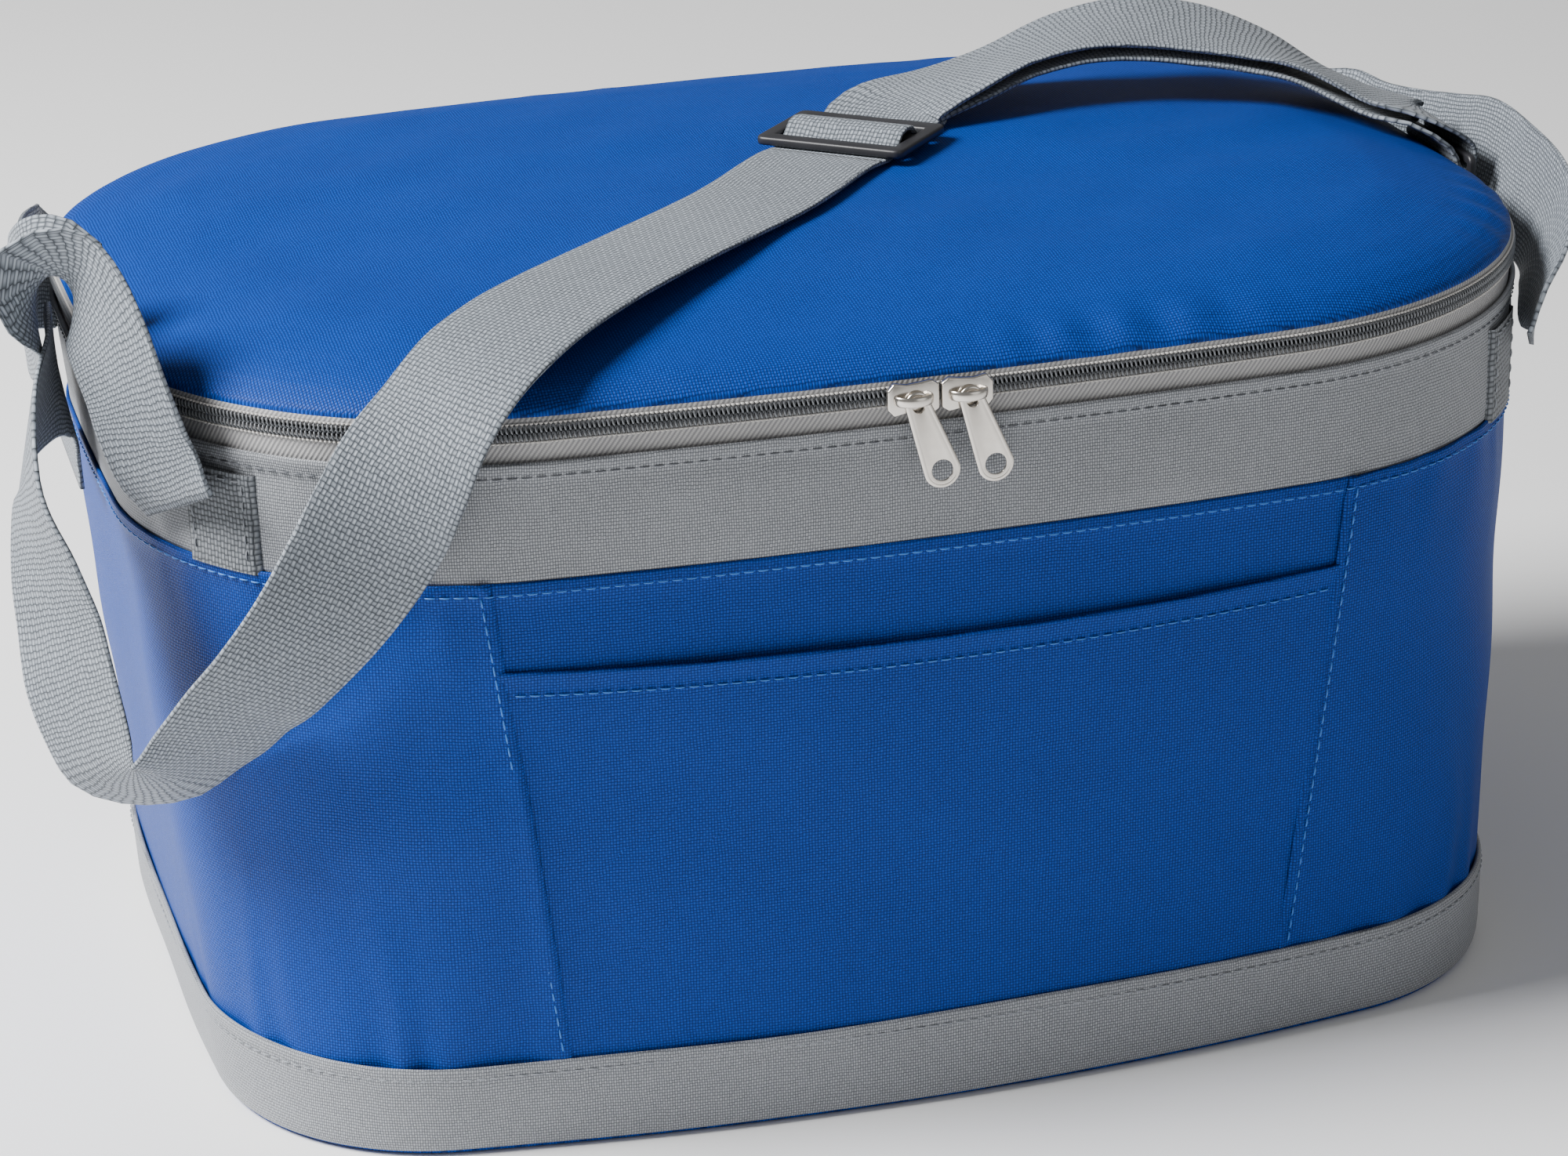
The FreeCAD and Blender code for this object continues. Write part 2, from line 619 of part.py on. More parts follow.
def make_slider(name, x):
    """The slider's front plate over the coil with the bridge that holds the pull."""
    body = doc.addObject("PartDesign::Body", name)
    body.Label = name
    plate = new_sketch(body, name + "_plate", "XZ_Plane")
    left, low = rectangle(plate, (0, 0), CELL + "slider_length", CELL + "slider_width")
    plate.setExpression("Constraints[%d]" % left, "-%sslider_length / 2" % CELL)
    plate.setExpression("Constraints[%d]" % low, "-%sslider_width / 2" % CELL)
    new_pad(body, plate, CELL + "slider_plate", False)
    bridge = new_sketch(body, name + "_bridge", "YZ_Plane")
    for line in bridge_outline(BRIDGE_RISE, BRIDGE_HALF):
        bridge.addGeometry(line, False)
    new_pad(body, bridge, CELL + "bridge_width", True)
    doc.recompute()
    place, turn = front_frame(x)
    out = turn.multVec(Vector(0, -1, 0))
    body.Placement = FreeCAD.Placement(place + out * SLIDER_FRONT, turn)
    parts.append(body)


def bridge_outline(rise, half):
    """A closed C-shaped strip standing on the plate, as straight lines in the body's YZ plane."""
    thick = 1.0
    foot = -D["slider_plate"] + 0.2
    crown = -D["slider_plate"] - rise
    top = half * 0.55
    outer = [(foot, -half), (crown, -top), (crown, top), (foot, half)]
    low = half - thick * 1.3
    high = top - thick * 0.6
    inner = [(foot, low), (crown + thick, high), (crown + thick, -high), (foot, -low)]
    corners = [Vector(y, z, 0) for y, z in outer + inner]
    return [Part.LineSegment(corners[k], corners[(k + 1) % len(corners)]) for k in range(len(corners))]


def make_pull(name, x):
    """A long flat tab: its upper eye hangs in the bridge, its lower end has a round hole."""
    body = doc.addObject("PartDesign::Body", name)
    body.Label = name
    tab = new_sketch(body, name + "_tab", "XZ_Plane")
    left, low = rectangle(tab, (0, -14), CELL + "pull_width * 0.8", "%spull_length - %spull_tail - 1" % (CELL, CELL))
    tab.setExpression("Constraints[%d]" % left, "-%spull_width * 0.4" % CELL)
    tab.setExpression("Constraints[%d]" % low, "-%spull_length + %spull_tail" % (CELL, CELL))
    new_pad(body, tab, CELL + "pull_thick", True)
    end = new_sketch(body, name + "_end", "XZ_Plane")
    up = circle(end, (0, -23), CELL + "pull_width / 2")
    end.setExpression("Constraints[%d]" % up, "-%spull_length + %spull_width / 2" % (CELL, CELL))
    new_pad(body, end, CELL + "pull_thick", True)
    hole = new_sketch(body, name + "_hole", "XZ_Plane")
    up = circle(hole, (0, -23), CELL + "pull_hole")
    hole.setExpression("Constraints[%d]" % up, "-%spull_length + %spull_width / 2" % (CELL, CELL))
    new_pocket(body, hole)
    eye = new_sketch(body, name + "_eye", "XZ_Plane")
    left, low = rectangle(eye, (0, -3), CELL + "eye_width", CELL + "eye_height")
    eye.setExpression("Constraints[%d]" % left, "-%seye_width / 2" % CELL)
    eye.setExpression("Constraints[%d]" % low, "-%seye_low" % CELL)
    new_pocket(body, eye)
    doc.recompute()
    place, turn = front_frame(x)
    out = turn.multVec(Vector(0, -1, 0))
    stand = SLIDER_FRONT + D["slider_plate"] + PULL_OUT
    body.Placement = FreeCAD.Placement(place + out * stand + Vector(0, 0, PULL_UP), turn)
    parts.append(body)


make_body_cloth()
make_front_pocket()
make_insulation()
make_zip()
make_lid()
make_handles()
make_strap()
make_adjuster()
make_ring()
for side_name, side_x in (("left", -SLIDER_X), ("right", SLIDER_X)):
    make_slider("zip_slider_" + side_name, side_x)
    make_pull("zip_pull_" + side_name, side_x)

doc.recompute()
for item in doc.Objects:
    if "Invalid" in item.State or "Error" in item.State:
        raise RuntimeError("%s failed: %s" % (item.Name, item.State))
os.makedirs("parts", exist_ok=True)
for part in parts:
    if part.Shape.isNull() or not part.Shape.isValid():
        raise RuntimeError(part.Label + " has no valid shape")
    part.Shape.exportStep("parts/%s.step" % part.Label)
    print("%-24s %8.0f mm3" % (part.Label, part.Shape.Volume))
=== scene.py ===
"""Insulated cooler bag: soft oval bag, domed zip lid, webbing grab handles and an adjustable shoulder strap.

Lengths are worked out in millimetres and handed to the meshes in metres.  -Y is the front, +Z is up.
"""
import math

import bmesh
import bpy
import numpy as np
from mathutils import Matrix, Vector


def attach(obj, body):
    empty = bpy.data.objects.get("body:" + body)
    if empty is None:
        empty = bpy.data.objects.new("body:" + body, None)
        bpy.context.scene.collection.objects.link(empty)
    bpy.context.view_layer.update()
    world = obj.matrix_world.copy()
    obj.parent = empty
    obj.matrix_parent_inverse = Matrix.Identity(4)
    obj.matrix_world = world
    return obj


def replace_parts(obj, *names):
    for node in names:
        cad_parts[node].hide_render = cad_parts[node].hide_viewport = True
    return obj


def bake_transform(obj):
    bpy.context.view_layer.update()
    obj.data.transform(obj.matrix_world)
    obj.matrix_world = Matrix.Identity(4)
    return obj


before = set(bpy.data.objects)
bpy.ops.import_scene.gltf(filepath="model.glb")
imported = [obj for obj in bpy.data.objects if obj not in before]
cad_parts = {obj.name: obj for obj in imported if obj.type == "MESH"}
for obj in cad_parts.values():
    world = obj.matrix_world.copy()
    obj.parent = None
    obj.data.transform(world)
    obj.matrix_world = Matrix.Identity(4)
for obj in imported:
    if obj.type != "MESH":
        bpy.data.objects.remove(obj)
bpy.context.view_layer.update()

MM = 0.001

# ---------------------------------------------------------------- camera and studio
# A long lens a little left of the front and above the lid, a pale floor, one broad soft light
# high at the left, a weak one at the front and a pale room all round.
camera_at = Vector((-0.3494, -1.2430, 0.6009))
aimed_at = Vector((-0.0005, 0.0, 0.1053))
camera_roll = math.radians(-1.52)
forward = (aimed_at - camera_at).normalized()
level = forward.cross(Vector((0, 0, 1))).normalized()
upright = level.cross(forward)
rightward = level * math.cos(camera_roll) + upright * math.sin(camera_roll)
upward = upright * math.cos(camera_roll) - level * math.sin(camera_roll)
lens = bpy.data.cameras.new("camera")
lens.lens = 104.2
lens.sensor_width = 36.0
lens.clip_start = 0.05
camera = bpy.data.objects.new("camera", lens)
turn = Matrix((rightward, upward, -forward)).transposed().to_4x4()
camera.matrix_world = Matrix.Translation(camera_at) @ turn
bpy.context.collection.objects.link(camera)
bpy.context.scene.camera = camera


def soft_light(name, place, size, power):
    light = bpy.data.lights.new(name, "AREA")
    light.shape = "DISK"
    light.size = size
    light.energy = power
    lamp = bpy.data.objects.new(name, light)
    lamp.location = place
    lamp.rotation_euler = (aimed_at - Vector(place)).to_track_quat("-Z", "Y").to_euler()
    bpy.context.collection.objects.link(lamp)


soft_light("high_left_light", (-1.5, 0.05, 1.6), 0.9, 118.0)
soft_light("front_light", (1.2, -2.0, 0.9), 1.6, 5.0)
room = bpy.data.worlds.new("room")
room.use_nodes = True
room.node_tree.nodes["Background"].inputs["Color"].default_value = (1.0, 1.0, 1.0, 1.0)
room.node_tree.nodes["Background"].inputs["Strength"].default_value = 0.23
bpy.context.scene.world = room

floor_mesh = bpy.data.meshes.new("floor")
floor_mesh.from_pydata([(-6, -4, 0), (6, -4, 0), (6, 8, 0), (-6, 8, 0)], [], [(0, 1, 2, 3)])
floor_piece = bpy.data.objects.new("floor", floor_mesh)
bpy.context.collection.objects.link(floor_piece)
floor_paint = bpy.data.materials.new("floor_paint")
floor_paint.use_nodes = True
floor_shader = floor_paint.node_tree.nodes["Principled BSDF"]
floor_shader.inputs["Base Color"].default_value = (0.95, 0.95, 0.95, 1.0)
floor_shader.inputs["Roughness"].default_value = 0.9
floor_mesh.materials.append(floor_paint)

# ---------------------------------------------------------------- side panels
# Blue 600 denier polyester in plain weave, coated inside.  Each end panel wraps from the front seam
# round to the back seam, is folded over at both and top-stitched there.
RIM = {"half_length": 210.0, "half_depth": 153.0, "corner": 115.0, "front": 1400.0, "end": 1900.0}
FOOT = {"half_length": 193.0, "half_depth": 147.0, "corner": 68.0, "front": 810.0, "end": 1900.0}
FOOT_HEIGHT = 1.6
ZIP_HEIGHT = 213.8
BAND_TOP = 28.0
BLUE_TOP = 172.0


def quarter_outline(height):
    """The three arcs of a quarter of the bag's outline at each height, as arrays."""
    share = np.clip((height - FOOT_HEIGHT) / (ZIP_HEIGHT - FOOT_HEIGHT), 0.0, 1.0)
    size = {name: FOOT[name] + (RIM[name] - FOOT[name]) * share for name in RIM}
    front_y = size["front"] - size["half_depth"]
    end_x = size["half_length"] - size["end"]
    reach = size["front"] - size["corner"]
    other = size["end"] - size["corner"]
    apart = np.hypot(end_x, front_y)
    along = (reach ** 2 - other ** 2 + apart ** 2) / (2 * apart)
    across = np.sqrt(reach ** 2 - along ** 2)
    way_x, way_y = end_x / apart, -front_y / apart
    corner_x = way_x * along - way_y * across
    corner_y = front_y + way_y * along + way_x * across
    other_x = way_x * along + way_y * across
    other_y = front_y + way_y * along - way_x * across
    wrong = (corner_y > 0) | (corner_x < 0)
    corner_x = np.where(wrong, other_x, corner_x)
    corner_y = np.where(wrong, other_y, corner_y)
    front_turn = np.arctan2(corner_y - front_y, corner_x)
    end_turn = np.arctan2(corner_y, corner_x - end_x)
    lengths = (
        size["front"] * (front_turn + math.pi / 2),
        size["corner"] * (end_turn - front_turn),
        size["end"] * -end_turn,
    )
    return size, (front_y, end_x, corner_x, corner_y), (front_turn, end_turn), lengths


def wall(around, height, out):
    """Points (mm) on the bag and the way out of it.  around counts quarter turns: 0 is the middle
    of the front, 1 the right end, 2 the back, 3 the left end; out is the distance off the surface."""
    around, height, out = np.broadcast_arrays(
        np.asarray(around, float), np.asarray(height, float), np.asarray(out, float))
    size, centres, turns, lengths = quarter_outline(height)
    front_y, end_x, corner_x, corner_y = centres
    front_turn, end_turn = turns
    around = np.mod(around, 4.0)
    quarter = np.floor(around)
    part = around - quarter
    part = np.where(np.mod(quarter, 2) == 1, 1 - part, part)
    length = part * sum(lengths)
    on_front = length <= lengths[0]
    on_corner = ~on_front & (length <= lengths[0] + lengths[1])
    angle = np.where(
        on_front, -math.pi / 2 + length / size["front"],
        np.where(on_corner, front_turn + (length - lengths[0]) / size["corner"],
                 end_turn + (length - lengths[0] - lengths[1]) / size["end"]))
    radius = np.where(on_front, size["front"], np.where(on_corner, size["corner"], size["end"]))
    centre_x = np.where(on_front, 0.0, np.where(on_corner, corner_x, end_x))
    centre_y = np.where(on_front, front_y, np.where(on_corner, corner_y, 0.0))
    flip_x = np.where(quarter < 2, 1.0, -1.0)
    flip_y = np.where((quarter == 0) | (quarter == 3), 1.0, -1.0)
    away = np.stack([np.cos(angle) * flip_x, np.sin(angle) * flip_y, np.zeros_like(angle)], -1)
    point = np.stack([
        (centre_x + (radius + out) * np.cos(angle)) * flip_x,
        (centre_y + (radius + out) * np.sin(angle)) * flip_y,
        height], -1)
    return point, away


def quarter_length(height):
    """How far it is round a quarter of the bag."""
    return sum(quarter_outline(np.asarray(height, float))[3])


def around_at(x, height):
    """Where on the front, in quarter turns, a given x lies."""
    size, _, _, lengths = quarter_outline(np.asarray(height, float))
    return size["front"] * np.arcsin(np.asarray(x, float) / size["front"]) / sum(lengths)


def seam_x(height):
    """Half the width of the front and back panels, which narrow towards the foot."""
    return 105.0 + 18.0 * (np.asarray(height, float) - BAND_TOP) / (BLUE_TOP - BAND_TOP)


def ripples(first, second, seed, count, shortest, longest):
    """Gentle unevenness of soft cloth, about -1 to 1, from a few crossing waves."""
    chance = np.random.default_rng(seed)
    total = np.zeros(np.broadcast(first, second).shape)
    for _ in range(count):
        span = chance.uniform(shortest, longest)
        way = chance.uniform(0, math.pi)
        start = chance.uniform(0, 2 * math.pi)
        run = first * math.cos(way) + second * math.sin(way)
        total = total + np.sin(2 * math.pi * run / span + start)
    return total / math.sqrt(count)


def laid(run, height):
    """Where each point of a grid lies on the flat cloth: along the run, and up it."""
    return np.stack([run, height * np.ones_like(run)], -1)


def as_columns(rows):
    """Heights and offsets as two columns, from a list of (height, offset) rows."""
    table = np.asarray(rows, float)
    return table[:, :1], table[:, 1:]


def put_in(name, mesh, finish, body):
    """Puts a mesh in the scene with its finish, and sets it on its body if it has one."""
    mesh.shade_smooth()
    mesh.materials.append(finish)
    piece = bpy.data.objects.new(name, mesh)
    bpy.context.collection.objects.link(piece)
    if body:
        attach(piece, body)
    return piece


def cloth(name, points, lay, finish, body, flip=False):
    """A woven piece from a grid of points; lay holds the place of each on the flat cloth, in mm."""
    rows, columns = points.shape[:2]
    number = np.arange(rows * columns).reshape(rows, columns)
    quads = np.stack([number[:-1, :-1], number[:-1, 1:], number[1:, 1:], number[1:, :-1]], -1).reshape(-1, 4)
    if flip:
        quads = quads[:, ::-1]
    mesh = bpy.data.meshes.new(name)
    mesh.vertices.add(rows * columns)
    mesh.vertices.foreach_set("co", (points.reshape(-1, 3) * MM).ravel())
    mesh.loops.add(quads.size)
    mesh.loops.foreach_set("vertex_index", quads.ravel())
    mesh.polygons.add(len(quads))
    mesh.polygons.foreach_set("loop_start", np.arange(0, quads.size, 4))
    mesh.update(calc_edges=True)
    grid = mesh.uv_layers.new(name="lay")
    grid.data.foreach_set("uv", lay.reshape(-1, 2)[quads.ravel()].ravel())
    mesh.validate()
    return put_in(name, mesh, finish, body)


class Wire:
    """A socket in a finish, so that its sums read as sums."""

    def __init__(self, tree, socket=None):
        self.tree = tree
        self.socket = socket

    def node(self, kind, settings=None, sockets=None, output=0):
        made = self.tree.nodes.new("ShaderNode" + kind)
        for name, setting in (settings or {}).items():
            if name == "stops":
                stops = made.color_ramp.elements
                stops[0].position, stops[0].color = setting[0]
                stops[1].position, stops[1].color = setting[-1]
                for place, colour in setting[1:-1]:
                    stops.new(place).color = colour
            else:
                setattr(made, name, setting)
        for name, value in (sockets or {}).items():
            if isinstance(value, Wire):
                self.tree.links.new(value.socket, made.inputs[name])
            else:
                made.inputs[name].default_value = value
        return Wire(self.tree, made.outputs[output])

    def sum(self, operation, first, second=0.0):
        return self.node("Math", {"operation": operation}, {0: first, 1: second})

    def __add__(self, other):
        return self.sum("ADD", self, other)

    def __sub__(self, other):
        return self.sum("SUBTRACT", self, other)

    def __rsub__(self, other):
        return self.sum("SUBTRACT", other, self)

    def __mul__(self, other):
        return self.sum("MULTIPLY", self, other)

    def __truediv__(self, other):
        return self.sum("DIVIDE", self, other)

    def __pow__(self, other):
        return self.sum("POWER", self, other)

    __radd__ = __add__
    __rmul__ = __mul__

    def whole(self):
        return self.sum("FLOOR", self)

    def rest(self):
        return self.sum("FRACT", self)

    def sine(self):
        return self.sum("SINE", self)

    def blend(self, low, high):
        """A colour between two, by this value."""
        return self.node("Mix", {"data_type": "RGBA"}, {0: self, 6: low, 7: high}, 2)


def new_finish(name, fixed):
    """An empty finish: its shader with the settings that are the same all over, and a wire to build on."""
    finish = bpy.data.materials.new(name)
    finish.use_nodes = True
    shader = finish.node_tree.nodes["Principled BSDF"]
    for socket, value in fixed.items():
        shader.inputs[socket].default_value = value
    return finish, shader, Wire(finish.node_tree)


def connect(shader, socket, wire):
    wire.tree.links.new(wire.socket, shader.inputs[socket])


def woven(name, dark, light, yarn_across, yarn_along, roughness, sheen, depth, floats=0.45, patch=0.06):
    """Plain weave: two sets of yarns that cross over and under each other, with the gaps in shadow."""
    finish, shader, wire = new_finish(
        name, {"Sheen Weight": sheen, "Sheen Roughness": 0.45, "Specular IOR Level": 0.16})
    place = wire.node("UVMap", {"uv_map": "lay"})
    wobble = wire.node("TexNoise", None, {"Vector": place, "Scale": 0.08, "Detail": 2.0})
    split = wire.node("SeparateXYZ", None, {0: place})
    up = wire.node("SeparateXYZ", None, {0: place}, 1)
    across = split / yarn_across + wobble * 1.6
    along = up / yarn_along + wobble * 1.6
    over = wire.sum("MODULO", across.whole() + along.whole() + 20000.0, 2.0)
    crown_across = (across.rest() * math.pi).sine()
    crown_along = (along.rest() * math.pi).sine()
    warp = crown_across * (crown_along ** floats)
    weft = crown_along * (crown_across ** floats) * 0.72
    height = over * warp + (1 - over) * weft
    shade = wire.node("TexNoise", None, {"Vector": place, "Scale": 0.02, "Detail": 5.0, "Roughness": 0.6})
    yarn = wire.node("TexWhiteNoise", {"noise_dimensions": "2D"}, {"Vector": wire.node(
        "CombineXYZ", None, {0: across.whole(), 1: along.whole()})})
    tone = height * 0.95 + shade * patch * 2 + yarn * 0.10 - (patch + 0.05)
    connect(shader, "Base Color", wire.node("Clamp", None, {0: tone}).blend(dark, light))
    connect(shader, "Roughness", roughness + 0.12 - height * 0.16)
    bump = wire.node("Bump", None, {"Strength": 0.55, "Distance": depth * MM, "Height": height})
    connect(shader, "Normal", bump)
    return finish


blue_cloth = woven("blue_cloth", (0.0003, 0.012, 0.085, 1), (0.0006, 0.073, 0.47, 1), 0.85, 0.88, 0.46, 0.0, 0.28)
CUT_EDGE = 24.0
MIDDLE_HEIGHT = 100.0


def seam_line(quarter, way, past):
    """The place round the bag of a line beside a seam, past it by so much, as a function of height."""
    return lambda height: quarter + way * around_at(seam_x(height) + past, height)


def panel_grid(first, last, heights, outs, seed, columns, soft):
    """Points and cloth places for a panel between two seams, given the rows' heights and offsets."""
    heights = np.asarray(heights, float)[:, None]
    share = np.linspace(0.0, 1.0, columns)[None, :]
    around = first(heights) + (last(heights) - first(heights)) * share
    run = around * quarter_length(MIDDLE_HEIGHT)
    give = np.sin(np.clip((heights - BAND_TOP) / (BLUE_TOP - BAND_TOP), 0, 1) * math.pi)
    uneven = ripples(run, heights * np.ones_like(run), seed, 9, 45.0, 160.0) * soft * give
    points, _ = wall(around, heights, np.asarray(outs, float)[:, None] + uneven)
    return points, laid(run, heights), around, run


# the panels' rows, from the cut edge under the lower band up to the turned and stitched top edge
blue_heights = np.asarray([*np.linspace(CUT_EDGE, BLUE_TOP - 7.0, 64), 168.0, 170.2, 171.5, 172.0, 172.0, 171.2])
blue_outs = np.asarray([0.2] * 64 + [0.7, 1.0, 1.1, 0.8, 0.2, -0.4])


def puckers(run, heights, middle, spread, base, reach, size, pitch, seed):
    """Little pleats that fan out from a seam where the cloth is eased in."""
    place = np.exp(-((run - middle) / spread) ** 2)
    fade = np.exp(-np.clip(np.abs(heights - base), 0, None) / reach)
    bend = ripples(run, heights, seed, 5, 30.0, 70.0) * 4.0
    return size * place * fade * np.sin((run + bend) * 2 * math.pi / pitch)


for side_name, first_turn, last_turn, mirror in (("right", 0, 2, 1), ("left", 4, 2, -1)):
    front_seam = seam_line(first_turn, mirror, -1.0)
    back_seam = seam_line(last_turn, -mirror, -1.0)
    points, lay, around, run = panel_grid(front_seam, back_seam, blue_heights, blue_outs, 11 + first_turn, 330, 0.9)
    heights = blue_heights[:, None]
    from_front = np.abs(around - front_seam(heights)) * quarter_length(blue_heights)[:, None]
    from_back = np.abs(around - back_seam(heights)) * quarter_length(blue_heights)[:, None]
    from_seam = np.minimum(from_front, from_back)
    fold = 0.9 * np.exp(-(from_seam / 5.0) ** 2) - 1.0 * np.exp(-(from_seam / 0.7) ** 2)
    corner = quarter_length(MIDDLE_HEIGHT) * (first_turn + mirror * 0.52)
    fold = fold + puckers(run, heights, corner, 70.0, 26.0, 22.0, 0.8, 23.0, 5)
    fold = fold + puckers(run, heights, corner, 60.0, 168.0, 16.0, 0.3, 19.0, 6)
    _, away = wall(around, heights, 0.0)
    side_cloth = cloth("side_cloth_" + side_name, points + away * fold[..., None], lay, blue_cloth, "bag",
                       flip=mirror < 0)
    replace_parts(side_cloth, "side_panel_" + side_name)


def stitching(name, path, away, finish, body, length=2.9, gap=1.0, thread=0.26):
    """A line of lockstitches: short threads that dip into the cloth at both ends."""
    steps = np.linalg.norm(np.diff(path, axis=0), axis=1)
    run = np.concatenate([[0.0], np.cumsum(steps)])
    count = max(int(run[-1] / (length + gap)), 1)
    middles = (np.arange(count) + 0.5) * run[-1] / count
    at = lambda where: np.stack([np.interp(where, run, path[:, k]) for k in range(3)], -1)
    centre, ahead = at(middles), at(middles + 0.4) - at(middles - 0.4)
    ahead /= np.linalg.norm(ahead, axis=1)[:, None]
    out = np.stack([np.interp(middles, run, away[:, k]) for k in range(3)], -1)
    out /= np.linalg.norm(out, axis=1)[:, None]
    side = np.cross(ahead, out)
    profile = [(-0.5, 0.35, -1.6), (-0.38, 0.85, -0.3), (0.0, 1.0, 0.25), (0.38, 0.85, -0.3), (0.5, 0.35, -1.6)]
    sides = 6
    rings = []
    for along, fat, lift in profile:
        for k in range(sides):
            turn_by = k * 2 * math.pi / sides
            rings.append(centre + ahead * (along * length) + side * (math.cos(turn_by) * fat * thread)
                         + out * ((math.sin(turn_by) * fat + lift) * thread))
    points = np.stack(rings, 1)
    faces = []
    for ring in range(len(profile) - 1):
        for k in range(sides):
            a, b = ring * sides + k, ring * sides + (k + 1) % sides
            faces.append((a, b, b + sides, a + sides))
    faces = (np.asarray(faces)[None] + (np.arange(count) * points.shape[1])[:, None, None]).reshape(-1, 4)
    mesh = bpy.data.meshes.new(name)
    mesh.from_pydata((points.reshape(-1, 3) * MM).tolist(), [], faces.tolist())
    put_in(name, mesh, finish, body)


def thread_finish(name, colour, roughness):
    """Spun sewing thread, a little darker in places."""
    finish, shader, wire = new_finish(name, {"Roughness": roughness})
    place = wire.node("TexCoord", None, None, 3)
    fleck = wire.node("TexNoise", None, {"Vector": place, "Scale": 900.0, "Detail": 2.0})
    darker = (colour[0] * 0.7, colour[1] * 0.7, colour[2] * 0.7, 1.0)
    connect(shader, "Base Color", fleck.blend(darker, colour))
    return finish


blue_thread = thread_finish("blue_thread", (0.03, 0.20, 0.68, 1.0), 0.45)
whole_way = np.linspace(-2.0, 2.0, 900)
top_path, top_away = wall(whole_way, 168.8, 1.35)
stitching("blue_top_stitching", top_path, top_away, blue_thread, "bag")
seam_heights = np.linspace(30.0, 169.0, 80)
for name, quarter, way in (("front_left", 4, -1), ("front_right", 0, 1), ("back_left", 2, 1), ("back_right", 2, -1)):
    path, away = wall(seam_line(quarter, way, 2.0)(seam_heights), seam_heights, 1.35)
    stitching("seam_stitching_" + name, path, away, blue_thread, "bag")

# ---------------------------------------------------------------- front and back panels
# The same blue cloth; their side edges are caught under the folded edges of the end panels.
for name, middle, seed, node in (("front_cloth", 0.0, 31, "front_centre_panel"),
                                 ("back_cloth", 2.0, 37, "back_panel")):
    points, lay, _, _ = panel_grid(seam_line(middle, -1, 1.5), seam_line(middle, 1, 1.5), blue_heights,
                                   blue_outs - 0.55, seed, 170, 0.5)
    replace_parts(cloth(name, points, lay, blue_cloth, "bag"), node)

# ---------------------------------------------------------------- front pocket
# One flat piece of the blue cloth, caught in both seams and under the lower band; its mouth is
# turned down and hemmed with a single line of stitching.
MOUTH_SIDE = 146.5
MOUTH_MIDDLE = 143.5
POCKET_SAG = 1.6
HEM = 7.0
sideways = np.linspace(0.0, 1.0, 170) * 2 - 1
mouth_line = MOUTH_MIDDLE + (MOUTH_SIDE - MOUTH_MIDDLE) * sideways ** 2
# each row: its share of the way up to the mouth, a lift on top of that, and its offset
pocket_rows = [(0.0, 0.0, 0.15)] + [(share, 0.0, 0.5) for share in np.linspace(0.02, 0.95, 56)]
pocket_rows += [(0.97, 0.0, 0.9), (0.99, 0.0, 1.2), (1.0, -0.2, 1.35), (1.0, 0.0, 1.1), (1.0, 0.0, 0.3),
                (0.99, 0.0, 0.1)]
levels, lifts, outs = np.hsplit(np.asarray(pocket_rows), 3)
pocket_heights = CUT_EDGE + (mouth_line - CUT_EDGE) * levels + lifts
pocket_around = around_at((seam_x(pocket_heights) + 1.2) * sideways, pocket_heights)
pocket_run = pocket_around * quarter_length(MIDDLE_HEIGHT)
sag = POCKET_SAG * np.clip(levels, 0, 1) ** 3 * (1 - sideways ** 4)
pocket_wave = ripples(pocket_run, pocket_heights, 43, 8, 60.0, 190.0) * 0.55
pocket_out = outs + sag - 0.25 + pocket_wave * np.sin(np.clip(levels, 0, 1) * math.pi)
pocket_points, _ = wall(pocket_around, pocket_heights, pocket_out)
pocket = cloth("pocket_cloth", pocket_points, laid(pocket_run + 400.3, pocket_heights), blue_cloth, "bag")
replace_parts(pocket, "front_pocket_panel")
hem_share = np.linspace(-0.985, 0.985, 300)
hem_heights = MOUTH_MIDDLE + (MOUTH_SIDE - MOUTH_MIDDLE) * hem_share ** 2 - HEM
hem_around = around_at(seam_x(hem_heights) * hem_share, hem_heights)
hem_path, hem_away = wall(hem_around, hem_heights, 0.6 + POCKET_SAG * 0.86 * (1 - hem_share ** 4))
stitching("pocket_hem_stitching", hem_path, hem_away, blue_thread, "bag")

# ---------------------------------------------------------------- base
# A blue bottom panel under stiff foam; its edge shows as a thin line below the lower band.
base_rows = [(1.9, -0.2), (0.9, 0.1), (0.25, -0.9), (0.05, -3.0)]
base_turns = np.linspace(-2.0, 2.0, 420)
base_points = [wall(base_turns, height, out)[0] for height, out in base_rows]
ring_edge = wall(base_turns, 0.0, -3.0)[0]
for inward in np.linspace(0.12, 1.0, 9):
    closer = 1 - 0.98 * inward
    base_points.append(ring_edge * np.array([closer, closer, 1.0]) + np.array([0.0, 0.0, 0.02]))
base_points = np.stack(base_points)
base_points[..., 2] = np.maximum(base_points[..., 2], 0.0)
base_cloth = cloth("base_cloth", base_points, base_points[..., :2].copy(), blue_cloth, "bag",
                   flip=True)
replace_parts(base_cloth, "base_panel")

